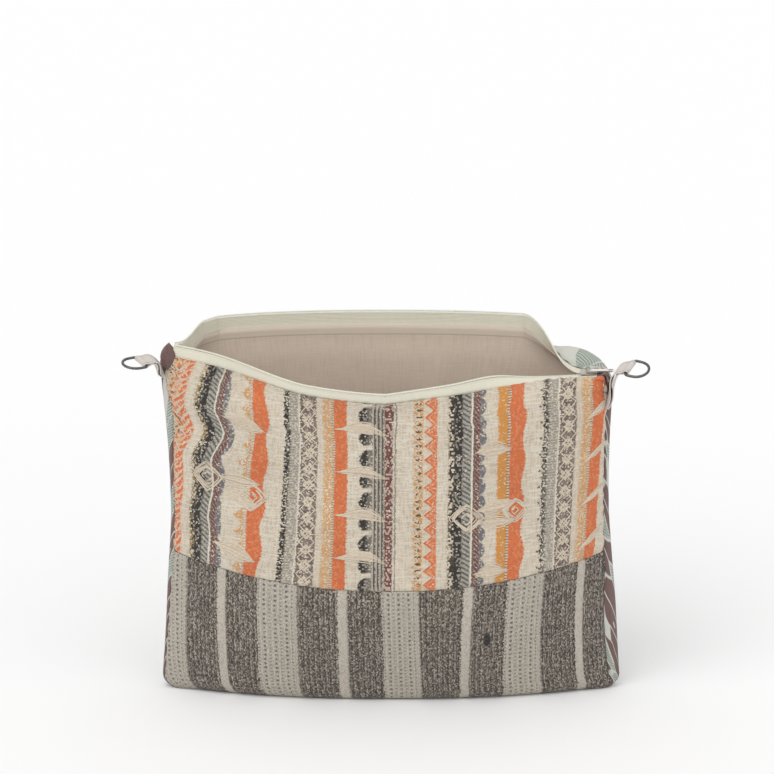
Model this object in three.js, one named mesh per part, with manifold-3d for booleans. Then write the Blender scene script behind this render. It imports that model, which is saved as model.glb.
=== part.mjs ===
// A lined cloth zip pouch for a prayer shawl, standing open on its base.
// The front is pieced from two woven cloths, the back is a third one that wraps round the sides,
// and a zip, its slider parked at the right end, closes the mouth. A cloth tab with a D-ring is
// caught in each side seam. Millimetres: X runs across the bag, Y from front to back, Z up.
import * as THREE from "three";
import { mergeVertices } from "three/addons/utils/BufferGeometryUtils.js";
import Module from "manifold-3d";

const wasm = await Module();
wasm.setup();

// Outline of the bag, seen from the front: widest at the base, drawn in at the waist
const WIDTH = 370;
const WAIST_DRAW = 10;
const TOP_DRAW = 5;
const FLARE = 1.2;
const BASE_HALF_WIDTH = WIDTH / 2;
const WAIST_HALF_WIDTH = BASE_HALF_WIDTH - WAIST_DRAW;
const TOP_HALF_WIDTH = BASE_HALF_WIDTH - TOP_DRAW;
const WAIST_HEIGHT = 150;
const CORNER_ROUND = 12;
const LEAN = -4;

// Height of the mouth's cloth edge, at the middle and towards each end
const FRONT_MOUTH_HEIGHT = 262;
const BACK_MOUTH_HEIGHT = 290;
const LEFT_RISE = 27;
const LEFT_RISE_SWEEP = 1.45;
const RIGHT_RISE = 8;
const RIGHT_RISE_REACH = 0.5;
const CORNER_DROOP = 8;
const SHOULDER = 34;
const CLOSED_SHOULDER = 13;

// Depth from the middle plane to the front and to the back
const FRONT_DEPTH = { base: 36, belly: 62, mouth: 63.5 };
const BACK_DEPTH = { base: 28, belly: 54, mouth: 58 };
const BELLY_HEIGHT = 105;
const BOTTOM_SEAM_Y = 9;
const FOLD_RADIUS = 7;

// How the side seams sit: the back cloth wraps past the widest line by this angle
const WRAP_ANGLE = THREE.MathUtils.degToRad(102);
const BACK_BOXINESS = 0.85;
const FRONT_FULLNESS = 2.4;
const SEAM_X = Math.pow(Math.sin(WRAP_ANGLE), BACK_BOXINESS);
const SEAM_Y = Math.pow(-Math.cos(WRAP_ANGLE), BACK_BOXINESS);

// Seam between the two front cloths
const PIECING_HEIGHT = 103;
const PIECING_RISE = 17;

// Thicknesses and clearances
const CLOTH = 1.6;
const LINING = 0.8;
const TAPE = 0.7;
const GAP = 0.3;
const WEAVE_RIDGE = 0.5;

// Zip: it lies flat where it is shut on the right, its tapes stand up against each other on the left,
// and between them the front tape leans out
const TAPE_OUT = 9;
const TAPE_LEAN = 0.77;
const TAPE_TUCK = 0.8;
const LINING_TOP = 0.93;
const COIL_RADIUS = 0.9;
const ZIP_Y = -6;
const ZIP_END = { left: 0.955, right: 0.95 };
const CORNER_START = 0.979;
const UPRIGHT_OFFSET = 4.8;
const SLIDER_AT = 0.91;
const SLIDER = { length: 12, wide: 9.4, narrow: 7, round: 1.6, plate: 1, clear: 0.3 };
const POST = { thick: 0.6, from: 1.1, aside: 0.07 };
const CROWN = { inner: 1, outer: 1.8, thick: 1.4, height: 1.15 };
const PULL = { length: 22, width: 5.2, thick: 1.2, pin: 0.6, pinInset: 0.2, hole: 2.4, slot: 2 };
const END_TAB = { length: 6, thick: 1, round: 1, above: 0.6, past: 4, clear: 0.4, aside: 0.75 };

// Tabs and D-rings
const TAB_ABOVE_MOUTH = { left: 10, right: -18 };
const TAB_WIDTH = 16;
const TAB_LAYER = 0.9;
const STRIP_HALF = 0.8;
const TAB_SEAT = 1.4;
const TAB_TURN = THREE.MathUtils.degToRad(21);
const TAB_TAIL = 6;
const WIRE_RADIUS = 1.1;
const RING_CLEARANCE = 0.35;
const RING_SLACK = 0.6;
const RING_ARM = 6.5;
const RING_CORNER = 2.4;

const FRONT = -1;
const BACK = 1;

// Where the mouth starts to close and where it is shut, and where its tape starts to turn and has turned,
// as shares of the half width for the front cloth, and of the back cloth's wrap for the back
const CLOSING = {
  left: {
    [FRONT]: { shut: [0.35, 0.935], level: [0.35, 0.845] },
    [BACK]: { shut: [0.59, 0.91], level: [0.59, 0.87] },
    backX: 0.74,
    end: ZIP_END.left,
  },
  right: {
    [FRONT]: { shut: [0.26, 0.95], level: [0, 0.83] },
    [BACK]: { shut: [0.33, 0.9], level: [0.33, 0.81] },
    backX: 0.61,
    end: ZIP_END.right,
  },
};

const smooth = (low, high, x) => THREE.MathUtils.smoothstep(x, low, high);
const lerp = THREE.MathUtils.lerp;
const signedPower = (x, n) => Math.sign(x) * Math.pow(Math.abs(x), n);
const endOf = (s) => (s < 0 ? CLOSING.left : CLOSING.right);

// Half width of the bag at a height: rounded at the base corners, drawn in at the waist
function halfWidth(z, inset) {
  const low = Math.max(0, (WAIST_HEIGHT - z) / WAIST_HEIGHT);
  const high = Math.max(0, (z - WAIST_HEIGHT) / (FRONT_MOUTH_HEIGHT - WAIST_HEIGHT));
  const round = CORNER_ROUND - inset;
  const corner = THREE.MathUtils.clamp(1 - (z - inset) / round, 0, 1);
  return (
    WAIST_HALF_WIDTH +
    (BASE_HALF_WIDTH - WAIST_HALF_WIDTH) * Math.pow(low, FLARE) +
    (TOP_HALF_WIDTH - WAIST_HALF_WIDTH) * high * high -
    inset -
    round * (1 - Math.sqrt(1 - corner * corner))
  );
}

// Depth of one side's middle at a height: it swells from the base to the belly, then eases to the mouth
function depthAt(depth, z) {
  const rise = Math.sin((Math.PI / 2) * THREE.MathUtils.clamp(z / BELLY_HEIGHT, 0, 1));
  const ease = smooth(BELLY_HEIGHT, FRONT_MOUTH_HEIGHT, z);
  return depth.base + (depth.belly - depth.base) * rise + (depth.mouth - depth.belly) * ease;
}

// A point of the bag's horizontal section. s runs from -1 at the left side seam to 1 at the right one,
// and inset moves the section inwards by that many millimetres.
function section(side, s, z, inset) {
  const width = halfWidth(z, inset);
  const back = depthAt(BACK_DEPTH, z) - inset;
  const lean = (LEAN * z) / FRONT_MOUTH_HEIGHT;
  if (side === BACK) {
    const turn = s * WRAP_ANGLE;
    return new THREE.Vector3(
      width * signedPower(Math.sin(turn), BACK_BOXINESS) + lean,
      back * signedPower(Math.cos(turn), BACK_BOXINESS),
      z,
    );
  }
  const seamY = -back * SEAM_Y;
  const front = depthAt(FRONT_DEPTH, z) - inset;
  const bulge = 1 - Math.pow(Math.abs(s), FRONT_FULLNESS);
  return new THREE.Vector3(width * SEAM_X * s + lean, seamY - (front + seamY) * bulge, z);
}

// The bottom fold of one side at s: where it starts, the way in towards the bottom seam, and its radius
function fold(side, s, inset) {
  const edge = section(side, s, inset, inset);
  const end = section(FRONT, 1, inset, inset);
  const seamY = end.y + (BOTTOM_SEAM_Y - end.y) * (1 - Math.pow(s, 4));
  const seam = new THREE.Vector3(end.x * s, seamY, inset);
  const inwards = seam.clone().sub(edge);
  const room = inwards.length();
  const radius = Math.min(FOLD_RADIUS, room / 2);
  if (room > 0) inwards.divideScalar(room);
  return { edge, seam, inwards, radius };
}

// Rows of a cloth, each a function of s and of the inset. The floor runs from the bottom seam to the fold.
const floorRow = (side, share) => (s, inset) => {
  const { edge, seam, inwards, radius } = fold(side, s, inset);
  const start = edge.addScaledVector(inwards, radius);
  return seam.lerp(start, share);
};

const foldRow = (side, share) => (s, inset) => {
  const { inwards, radius } = fold(side, s, inset);
  const turn = (share * Math.PI) / 2;
  const z = inset + radius * (1 - Math.cos(turn));
  return section(side, s, z, inset).addScaledVector(inwards, radius * (1 - Math.sin(turn)));
};

// The wall between two heights that may change across the bag
const wallRow = (side, low, high, share) => (s, inset) => {
  const z = lerp(low(s, inset), high(s, inset), share);
  return section(side, s, z, inset);
};

const foldTop = (side) => (s, inset) => inset + fold(side, s, inset).radius;
const cornerTop = () => CORNER_ROUND;
const piecing = (shift) => (s) => PIECING_HEIGHT + PIECING_RISE * s * s + shift;

// How far the mouth has closed at s, and how far its tape has turned: 0 open, 1 where the zip is shut
function closure(side, s) {
  const { shut, level } = endOf(s)[side];
  const reach = Math.abs(s);
  return { shut: smooth(...shut, reach), level: smooth(...level, reach) };
}

// Share of the wrap up to which the back cloth rises straight to the mouth, at the end that s is on
const straightTo = (s) => Math.asin(Math.pow(endOf(s).backX, 1 / BACK_BOXINESS)) / WRAP_ANGLE;

// Where a column of cloth meets the mouth, as a share of the way from the middle to the side seam
function edgeShare(side, s) {
  if (side === FRONT) return s;
  const { backX } = endOf(s);
  const straight = straightTo(s);
  const reach = Math.abs(s);
  if (reach < straight) return signedPower(Math.sin(s * WRAP_ANGLE), BACK_BOXINESS) / SEAM_X;
  return Math.sign(s) * lerp(backX / SEAM_X, 1, (reach - straight) / (1 - straight));
}

// The back cloth's column that meets the mouth at a share, near one of its ends
function backColumn(share) {
  const start = endOf(share).backX / SEAM_X;
  const straight = straightTo(share);
  return Math.sign(share) * lerp(straight, 1, (Math.abs(share) - start) / (1 - start));
}

// Height of the front cloth's edge across the mouth
function frontEdgeHeight(share) {
  const corner = FRONT_MOUTH_HEIGHT - CORNER_DROOP * smooth(CORNER_START, 1.01, Math.abs(share));
  if (share < 0) return corner + LEFT_RISE * Math.pow(-share, LEFT_RISE_SWEEP);
  return corner + RIGHT_RISE * Math.sin((Math.PI / 2) * Math.min(1, share / RIGHT_RISE_REACH));
}

// Distance from the cloth's edge to the middle of the shut zip
const EDGE_TO_ZIP = TAPE_OUT + GAP + 2 * COIL_RADIUS + GAP / 2;

// The top edge of one side at s, how far it is shut there, and how far it has run into the corner
function edgePoint(side, s) {
  const { shut, level } = closure(side, s);
  const share = edgeShare(side, s);
  const corner = smooth(CORNER_START, 1, Math.abs(share));
  const low = frontEdgeHeight(share);
  const z = side === FRONT ? low : lerp(BACK_MOUTH_HEIGHT, low, level);
  const open = section(side, s, z, 0);
  const seamY = section(FRONT, 1, z, 0).y;
  const x = halfWidth(z, 0) * SEAM_X * share + (LEAN * z) / FRONT_MOUTH_HEIGHT;
  const zipY = s < 0 ? seamY : lerp(ZIP_Y, seamY, corner);
  const offset = (s < 0 ? UPRIGHT_OFFSET : EDGE_TO_ZIP) * (1 - corner);
  const y = lerp(open.y, zipY + side * offset, shut);
  return { point: new THREE.Vector3(x, y, z), level, corner };
}

// The same with the way on along the zip tape and the way into the bag, both square to the edge.
// Past the end of the zip the way in swings round to the way into the side seam.
function mouthEdge(side, s) {
  const { point, level, corner } = edgePoint(side, s);
  const run = edgePoint(side, s + 0.002).point.sub(edgePoint(side, s - 0.002).point).normalize();
  const flat = lerp(side === FRONT ? -TAPE_LEAN : 0, s < 0 ? 0 : 1, level);
  const along = new THREE.Vector3(0, -side * flat, 1 - flat);
  along.addScaledVector(run, -along.dot(run)).normalize();
  const seamwards = section(FRONT, Math.sign(s), point.z, 1).sub(section(FRONT, Math.sign(s), point.z, 0));
  const into = run.clone().cross(along).multiplyScalar(side).lerp(seamwards, corner).normalize();
  return { point, along, into, level };
}

const shoulderHeight = (side) => (s) => {
  const { point, level } = mouthEdge(side, s);
  return point.z - lerp(SHOULDER, CLOSED_SHOULDER, level);
};

// The shoulder: a curve from the top of the wall to the mouth's edge, level where the zip is shut
const shoulderRow = (side, share) => (s, inset) => {
  const { point, along, into } = mouthEdge(side, s);
  const z = shoulderHeight(side)(s);
  const start = section(side, s, z, inset);
  const end = point.addScaledVector(into, inset);
  const span = start.distanceTo(end);
  const rise = start.clone().sub(section(side, s, z - 1, inset)).normalize();
  const curve = new THREE.CubicBezierCurve3(
    start,
    start.clone().addScaledVector(rise, span * 0.4),
    end.clone().addScaledVector(along, -span * 0.4),
    end,
  );
  return curve.getPoint(share);
};

// The zip tape past the cloth's edge, out to a distance
const tapeRow = (side, out) => (s, inset) => {
  const { point, along, into } = mouthEdge(side, s);
  return point.addScaledVector(into, inset).addScaledVector(along, out);
};

// Evenly spaced values from low to high
function steps(low, high, count) {
  return Array.from({ length: count + 1 }, (_, i) => lerp(low, high, i / count));
}

// A closed geometry from its triangles, with shared corners merged and empty triangles left out,
// turned so that its faces point outwards
function closedGeometry(points, triangles) {
  const flat = new THREE.BufferGeometry();
  flat.setAttribute("position", new THREE.Float32BufferAttribute(points.flatMap((p) => p.toArray()), 3));
  flat.setIndex(triangles.flat());
  const merged = mergeVertices(flat, 1e-4);
  const index = Array.from(merged.index.array);
  const kept = [];
  for (let i = 0; i < index.length; i += 3) {
    const [a, b, c] = index.slice(i, i + 3);
    if (a !== b && b !== c && c !== a) kept.push([a, b, c]);
  }
  const at = (i) => new THREE.Vector3().fromBufferAttribute(merged.attributes.position, i);
  const volume = kept.reduce((sum, [a, b, c]) => sum + at(a).dot(at(b).cross(at(c))), 0);
  merged.setIndex(kept.flatMap(([a, b, c]) => (volume < 0 ? [a, c, b] : [a, b, c])));
  merged.computeVertexNormals();
  return merged;
}

// A sheet with thickness: two grids of the same size, joined round their border
function slab(outer, inner) {
  const columns = outer.length;
  const rows = outer[0].length;
  const points = [...outer.flat(), ...inner.flat()];
  const out = (i, j) => i * rows + j;
  const into = (i, j) => columns * rows + out(i, j);
  const triangles = [];
  const quad = (a, b, c, d) => triangles.push([a, b, c], [a, c, d]);
  for (let i = 0; i + 1 < columns; i++) {
    for (let j = 0; j + 1 < rows; j++) {
      quad(out(i, j), out(i + 1, j), out(i + 1, j + 1), out(i, j + 1));
      quad(into(i, j), into(i, j + 1), into(i + 1, j + 1), into(i + 1, j));
    }
    quad(out(i + 1, 0), out(i, 0), into(i, 0), into(i + 1, 0));
    quad(out(i, rows - 1), out(i + 1, rows - 1), into(i + 1, rows - 1), into(i, rows - 1));
  }
  for (let j = 0; j + 1 < rows; j++) {
    quad(out(0, j), out(0, j + 1), into(0, j + 1), into(0, j));
    quad(out(columns - 1, j + 1), out(columns - 1, j), into(columns - 1, j), into(columns - 1, j + 1));
  }
  return closedGeometry(points, triangles);
}

// A cloth between two insets, from its columns and rows. ridge lifts the outer face of each column.
function cloth(columns, rows, outside, inside, ridge = () => 0) {
  const grid = (inset) => columns.map((s) => rows.map((row) => row(s, inset(s, row))));
  const raised = (s, row) => outside - (row.ridged ? ridge(s) : 0);
  return slab(grid(raised), grid(() => inside));
}

// A round tube through stations, each a point with the two directions across the tube there
function tube(stations, radius, sides, closed) {
  const points = stations.flatMap(({ point, right, up }) =>
    Array.from({ length: sides }, (_, k) => {
      const turn = (2 * Math.PI * k) / sides;
      return point
        .clone()
        .addScaledVector(right, radius * Math.cos(turn))
        .addScaledVector(up, radius * Math.sin(turn));
    }),
  );
  const count = stations.length;
  const triangles = [];
  for (let i = 0; i < (closed ? count : count - 1); i++) {
    for (let k = 0; k < sides; k++) {
      const next = (k + 1) % sides;
      const here = i * sides;
      const there = ((i + 1) % count) * sides;
      triangles.push([here + k, there + k, there + next], [here + k, there + next, here + next]);
    }
  }
  if (!closed) {
    const last = (count - 1) * sides;
    for (let k = 1; k + 1 < sides; k++) {
      triangles.push([0, k, k + 1], [last, last + k + 1, last + k]);
    }
  }
  return closedGeometry(points, triangles);
}

// Boolean work on closed geometries
function solid(geometry) {
  const bare = geometry.clone();
  bare.deleteAttribute("normal");
  bare.deleteAttribute("uv");
  const merged = mergeVertices(bare, 1e-4);
  return new wasm.Manifold(
    new wasm.Mesh({
      numProp: 3,
      vertProperties: new Float32Array(merged.attributes.position.array),
      triVerts: new Uint32Array(merged.index.array),
    }),
  );
}

function geometryOf(manifold) {
  const mesh = manifold.getMesh();
  const geometry = new THREE.BufferGeometry();
  geometry.setAttribute("position", new THREE.BufferAttribute(mesh.vertProperties, 3));
  geometry.setIndex(new THREE.BufferAttribute(mesh.triVerts, 1));
  geometry.computeVertexNormals();
  return geometry;
}

const joined = (first, ...others) =>
  geometryOf(others.reduce((sum, geometry) => sum.add(solid(geometry)), solid(first)));

const finish = (color, roughness, metalness = 0) =>
  new THREE.MeshStandardMaterial({ color, roughness, metalness });

const FINISHES = {
  upperCloth: finish(0xcfbfa6, 0.9),
  lowerCloth: finish(0x857b70, 0.92),
  backCloth: finish(0x77605a, 0.9),
  lining: finish(0xb3a694, 0.92),
  tape: finish(0xdedbc8, 0.75),
  coil: finish(0xe6e2cf, 0.45),
  metal: finish(0x6a645c, 0.35, 1),
  pull: finish(0xe4e0da, 0.4, 0.3),
  webbing: finish(0xded6d0, 0.9),
};

const bag = new THREE.Group();

function add(name, geometry, material, parent = bag) {
  const mesh = new THREE.Mesh(geometry, material);
  mesh.name = name;
  parent.add(mesh);
  return mesh;
}

// The front and the back stand a seam's width apart
const frontHalf = new THREE.Group();
frontHalf.position.y = -GAP / 2;
const backHalf = new THREE.Group();
backHalf.position.y = GAP / 2;
bag.add(frontHalf, backHalf);

// One repeat of the upper cloth's raised stripes, as distances from its start, in millimetres
const UPPER_REPEAT = 202;
const UPPER_START = -178;
const UPPER_STRIPES = [
  [0, 21],
  [32, 60],
  [69, 90],
  [102, 127],
  [138, 154],
  [166, 194],
];

// One repeat of the lower cloth's raised stripes: a broad one and a narrow one
const LOWER_REPEAT = 98.5;
const LOWER_START = -205;
const LOWER_STRIPES = [
  [0, 31],
  [63, 70],
];

// Ends of every stripe that crosses the front, as shares of the half width
function stripes(start, repeat, list) {
  const found = [];
  const seam = WAIST_HALF_WIDTH * SEAM_X;
  for (let at = start; at < seam; at += repeat) {
    for (const [low, high] of list) {
      const ends = [(at + low) / seam, (at + high) / seam];
      if (ends[0] > -0.97 && ends[1] < 0.97) found.push(ends);
    }
  }
  return found;
}

const RIDGE_EDGE = 0.006;
const inStripe = (list) => (s) =>
  list.some(([low, high]) => s > low && s < high) ? WEAVE_RIDGE : 0;

// Closer columns where the mouth closes
const LEFT_END = [...steps(-1, -ZIP_END.left, 4), ...steps(-ZIP_END.left, -0.8, 5).slice(1)];
const RIGHT_END = [...steps(0.6, ZIP_END.right, 11), ...steps(ZIP_END.right, 1, 4).slice(1)];

// Columns of a striped cloth: a pair at each edge of a stripe, and the closer ones clear of those
function stripedColumns(list) {
  const edges = list.flatMap(([low, high]) => [
    low - RIDGE_EDGE / 2,
    low + RIDGE_EDGE / 2,
    high - RIDGE_EDGE / 2,
    high + RIDGE_EDGE / 2,
  ]);
  const clear = [...LEFT_END, ...RIGHT_END].filter((s) => edges.every((e) => Math.abs(e - s) > 0.006));
  return [...clear, ...edges].sort((a, b) => a - b);
}

const ridged = (row) => Object.assign(row, { ridged: true });

// The fold at the base and the rounded corner above it
const baseRows = (side) => [
  ...steps(0, 1, 3).slice(1).map((t) => foldRow(side, t)),
  ...steps(0, 1, 3).slice(1).map((t) => wallRow(side, foldTop(side), cornerTop, t * t)),
];

const bands = stripes(UPPER_START, UPPER_REPEAT, UPPER_STRIPES);
const FRONT_COLUMNS = stripedColumns(bands);
const BACK_ENDS = [backColumn(-ZIP_END.left), backColumn(ZIP_END.right)];
const BACK_COLUMNS = [
  ...steps(-1, BACK_ENDS[0], 5),
  ...steps(BACK_ENDS[0], -0.4, 16).slice(1),
  ...steps(-0.4, 0.34, 8).slice(1, -1),
  ...steps(0.34, BACK_ENDS[1], 20),
  ...steps(BACK_ENDS[1], 1, 5).slice(1),
];
const COLUMNS = { [FRONT]: FRONT_COLUMNS, [BACK]: BACK_COLUMNS };
const SHOULDER_ROWS = [0.3, 0.6, TAPE_TUCK];
const UPPER_WALL_ROWS = 5;
const LOWER_WALL_ROWS = 4;
const BACK_WALL_ROWS = 7;
const LINING_WALL_ROWS = 5;

function frontUpperPanel() {
  const rows = [
    ...steps(0, 1, UPPER_WALL_ROWS).map((t) =>
      ridged(wallRow(FRONT, piecing(GAP / 2), shoulderHeight(FRONT), t)),
    ),
    ...[...SHOULDER_ROWS, LINING_TOP, 1].map((t) => shoulderRow(FRONT, t)),
  ];
  return cloth(FRONT_COLUMNS, rows, 0, CLOTH, inStripe(bands));
}

function frontLowerPanel() {
  const bands = stripes(LOWER_START, LOWER_REPEAT, LOWER_STRIPES);
  const rows = [
    ...steps(0, 1, 2).map((t) => floorRow(FRONT, t)),
    ...baseRows(FRONT),
    ...steps(0, 1, LOWER_WALL_ROWS)
      .slice(1)
      .map((t) => ridged(wallRow(FRONT, cornerTop, piecing(-GAP / 2), t))),
  ];
  return cloth(stripedColumns(bands), rows, 0, CLOTH, inStripe(bands));
}

// Every row of one side, from the bottom seam up to the last of its shoulder's rows
function fullRows(side, walls, shoulder) {
  return [
    ...steps(0, 1, 1).map((t) => floorRow(side, t)),
    ...baseRows(side),
    ...steps(0, 1, walls).slice(1).map((t) => wallRow(side, cornerTop, shoulderHeight(side), t)),
    ...shoulder.map((t) => shoulderRow(side, t)),
  ];
}

function backPanel() {
  const rows = fullRows(BACK, BACK_WALL_ROWS, [...SHOULDER_ROWS, LINING_TOP, 1]);
  return cloth(BACK_COLUMNS, rows, 0, CLOTH);
}

// The tape lies between the cloth and the lining, and the lining hangs from it
const TAPE_INSET = CLOTH + GAP;
const LINING_INSET = TAPE_INSET + TAPE + GAP;

// Columns between the ends of the zip
const innerColumns = (side) =>
  COLUMNS[side].filter((s) => Math.abs(edgeShare(side, s)) < endOf(s).end + 1e-6);

function liningPanel(side) {
  const rows = fullRows(side, LINING_WALL_ROWS, [...SHOULDER_ROWS, LINING_TOP]);
  return cloth(innerColumns(side), rows, LINING_INSET, LINING_INSET + LINING);
}

function zipTape(side) {
  const rows = [
    ...[TAPE_TUCK, LINING_TOP, 1].map((t) => shoulderRow(side, t)),
    ...steps(0, TAPE_OUT, 2).slice(1).map((out) => tapeRow(side, out)),
  ];
  return cloth(innerColumns(side), rows, TAPE_INSET, TAPE_INSET + TAPE);
}

// The coil runs along the tape's free edge
function coilStation(side, s) {
  const { along, into } = mouthEdge(side, s);
  const point = tapeRow(side, TAPE_OUT + GAP + COIL_RADIUS)(s, TAPE_INSET + TAPE / 2);
  return { point, right: along, up: into };
}

const zipCoil = (side) =>
  tube(innerColumns(side).map((s) => coilStation(side, s)), COIL_RADIUS, 8, false);

// A frame as a matrix, from its origin and its axes
const frame = (origin, x, y, z) => new THREE.Matrix4().makeBasis(x, y, z).setPosition(origin);

// The shut zip's own frame at a share of the mouth: X along it towards the right, Z up out of it
function zipFrame(share) {
  const front = coilStation(FRONT, share);
  const ahead = coilStation(FRONT, share + 0.01).point.sub(front.point).normalize();
  const y = new THREE.Vector3(0, 1, 0);
  const z = ahead.clone().cross(y).normalize();
  const origin = front.point.clone().setY(ZIP_Y);
  return frame(origin, ahead, z.clone().cross(ahead), z);
}

const sliderFrame = zipFrame(SLIDER_AT);
const PLATE_UNDERSIDE = COIL_RADIUS + SLIDER.clear;
const PLATE_TOP = PLATE_UNDERSIDE + SLIDER.plate;
const HINGE_HEIGHT = PLATE_TOP + CROWN.height;

const extruded = (shape, depth, curveSegments = 10) =>
  new THREE.ExtrudeGeometry(shape, { depth, bevelEnabled: false, curveSegments });

// A closed outline with rounded corners, from its points
function rounded(corners, radius) {
  const shape = new THREE.Shape();
  corners.forEach((corner, i) => {
    const before = corners[(i + corners.length - 1) % corners.length];
    const after = corners[(i + 1) % corners.length];
    const start = corner.clone().add(before.clone().sub(corner).setLength(radius));
    const end = corner.clone().add(after.clone().sub(corner).setLength(radius));
    if (i === 0) shape.moveTo(start.x, start.y);
    else shape.lineTo(start.x, start.y);
    shape.quadraticCurveTo(corner.x, corner.y, end.x, end.y);
  });
  shape.closePath();
  return shape;
}

const points = (...pairs) => pairs.map(([x, y]) => new THREE.Vector2(x, y));

// Two plates above and below the coils, a post between them where the coils part, and the crown on top
function slider() {
  const half = SLIDER.length / 2;
  const outline = rounded(
    points(
      [-half, -SLIDER.wide / 2],
      [half, -SLIDER.narrow / 2],
      [half, SLIDER.narrow / 2],
      [-half, SLIDER.wide / 2],
    ),
    SLIDER.round,
  );
  const plate = (z) => extruded(outline, SLIDER.plate, 3).translate(0, 0, z);
  const postHeight = PLATE_UNDERSIDE + PLATE_TOP;
  const post = new THREE.CylinderGeometry(POST.thick / 2, POST.thick / 2, postHeight, 12)
    .rotateX(Math.PI / 2)
    .translate(POST.from - half, POST.aside, 0);
  const ring = new THREE.Shape().absarc(0, 0, CROWN.outer, 0, 2 * Math.PI);
  ring.holes.push(new THREE.Path().absarc(0, 0, CROWN.inner, 0, 2 * Math.PI));
  const crown = extruded(ring, CROWN.thick, 12)
    .translate(0, 0, -CROWN.thick / 2)
    .rotateX(Math.PI / 2)
    .translate(0, 0, HINGE_HEIGHT);
  return joined(plate(PLATE_UNDERSIDE), plate(-PLATE_TOP), post, crown).applyMatrix4(sliderFrame);
}

// The pull lies to the right from its pin, with a fork round the crown and a hole at its far end
function pull() {
  const half = PULL.width / 2;
  const fork = CROWN.thick / 2 + GAP;
  const throat = CROWN.outer + GAP + PULL.pin;
  const tip = PULL.length - PULL.pin - half;
  const shape = new THREE.Shape()
    .moveTo(-PULL.pin, -half)
    .lineTo(tip, -half)
    .absarc(tip, 0, half, -Math.PI / 2, Math.PI / 2)
    .lineTo(-PULL.pin, half)
    .lineTo(-PULL.pin, fork)
    .lineTo(throat, fork)
    .lineTo(throat, -fork)
    .lineTo(-PULL.pin, -fork)
    .closePath();
  const hole = new THREE.Path()
    .moveTo(tip - PULL.slot, PULL.hole / 2)
    .absarc(tip - PULL.slot, 0, PULL.hole / 2, Math.PI / 2, 1.5 * Math.PI)
    .absarc(tip, 0, PULL.hole / 2, 1.5 * Math.PI, 2.5 * Math.PI);
  shape.holes.push(hole);
  const plate = extruded(shape, PULL.thick).translate(0, 0, -PULL.thick / 2);
  const pin = new THREE.CylinderGeometry(PULL.pin, PULL.pin, PULL.width - 2 * PULL.pinInset, 16);
  return joined(plate, pin).translate(0, 0, HINGE_HEIGHT).applyMatrix4(sliderFrame);
}

// A folded scrap of the back cloth over the upright tapes where the zip ends on the left
function leftEndTab() {
  const { point, along } = mouthEdge(FRONT, -ZIP_END.left);
  const across = new THREE.Vector3(0, 1, 0);
  const ahead = across.clone().cross(along).normalize();
  const middle = point.setY(section(FRONT, -1, point.z, 0).y).addScaledVector(along, 2 * GAP);
  const clear = COIL_RADIUS + 3 * GAP + UPRIGHT_OFFSET - TAPE_INSET - TAPE / 2;
  const out = clear + END_TAB.thick;
  const back = -END_TAB.thick - END_TAB.past;
  const front = back + END_TAB.length;
  const shape = new THREE.Shape()
    .moveTo(front, -out)
    .lineTo(front, -clear)
    .lineTo(back + END_TAB.thick, -clear)
    .lineTo(back + END_TAB.thick, clear)
    .lineTo(front, clear)
    .lineTo(front, out)
    .lineTo(back + END_TAB.round, out)
    .quadraticCurveTo(back, out, back, out - END_TAB.round)
    .lineTo(back, END_TAB.round - out)
    .quadraticCurveTo(back, -out, back + END_TAB.round, -out)
    .closePath();
  const height = TAPE_OUT + GAP + 2 * COIL_RADIUS + END_TAB.above;
  return extruded(shape, height, 4).applyMatrix4(frame(middle, ahead, across, along));
}

// A scrap of the same cloth that closes the mouth between the zip's right end and the corner
function rightEndTab() {
  const start = edgePoint(FRONT, ZIP_END.right).point;
  const end = edgePoint(FRONT, CORNER_START).point;
  const half = EDGE_TO_ZIP - END_TAB.aside;
  const near = start.x + END_TAB.clear;
  const far = end.x - END_TAB.clear;
  const corners = points([near, -half], [far, -half], [far, half], [near, half]);
  return extruded(rounded(corners, END_TAB.round), END_TAB.thick, 4).translate(
    0,
    ZIP_Y,
    start.z - TAPE_INSET - END_TAB.thick,
  );
}

// A tab caught in a side seam: where it leaves the seam, its D-ring's bar from there, the bar's
// direction, the way the tab reaches the bar and the way the ring hangs from it
const TABS = {
  left: {
    seam: -1,
    height: FRONT_MOUTH_HEIGHT + TAB_ABOVE_MOUTH.left,
    bar: new THREE.Vector3(-17.5, -15.7, 15.5),
    across: new THREE.Vector3(0.487, -0.866, -0.113),
    reach: new THREE.Vector3(-0.7315, -0.4751, 0.488),
    hang: new THREE.Vector3(-0.87, -0.49, 0.01),
  },
  right: {
    seam: 1,
    height: FRONT_MOUTH_HEIGHT + TAB_ABOVE_MOUTH.right,
    bar: new THREE.Vector3(18.5, -13.7, 38),
    across: new THREE.Vector3(-0.43, -0.845, -0.318),
    reach: new THREE.Vector3(0.434, -0.502, 0.748),
    hang: new THREE.Vector3(0.9, -0.43, -0.07),
  },
};

const rootOf = ({ seam, height }) => section(FRONT, seam, height, 0);
const barOf = (tab) => rootOf(tab).add(tab.bar);
const unit = (v) => v.clone().normalize();

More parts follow.
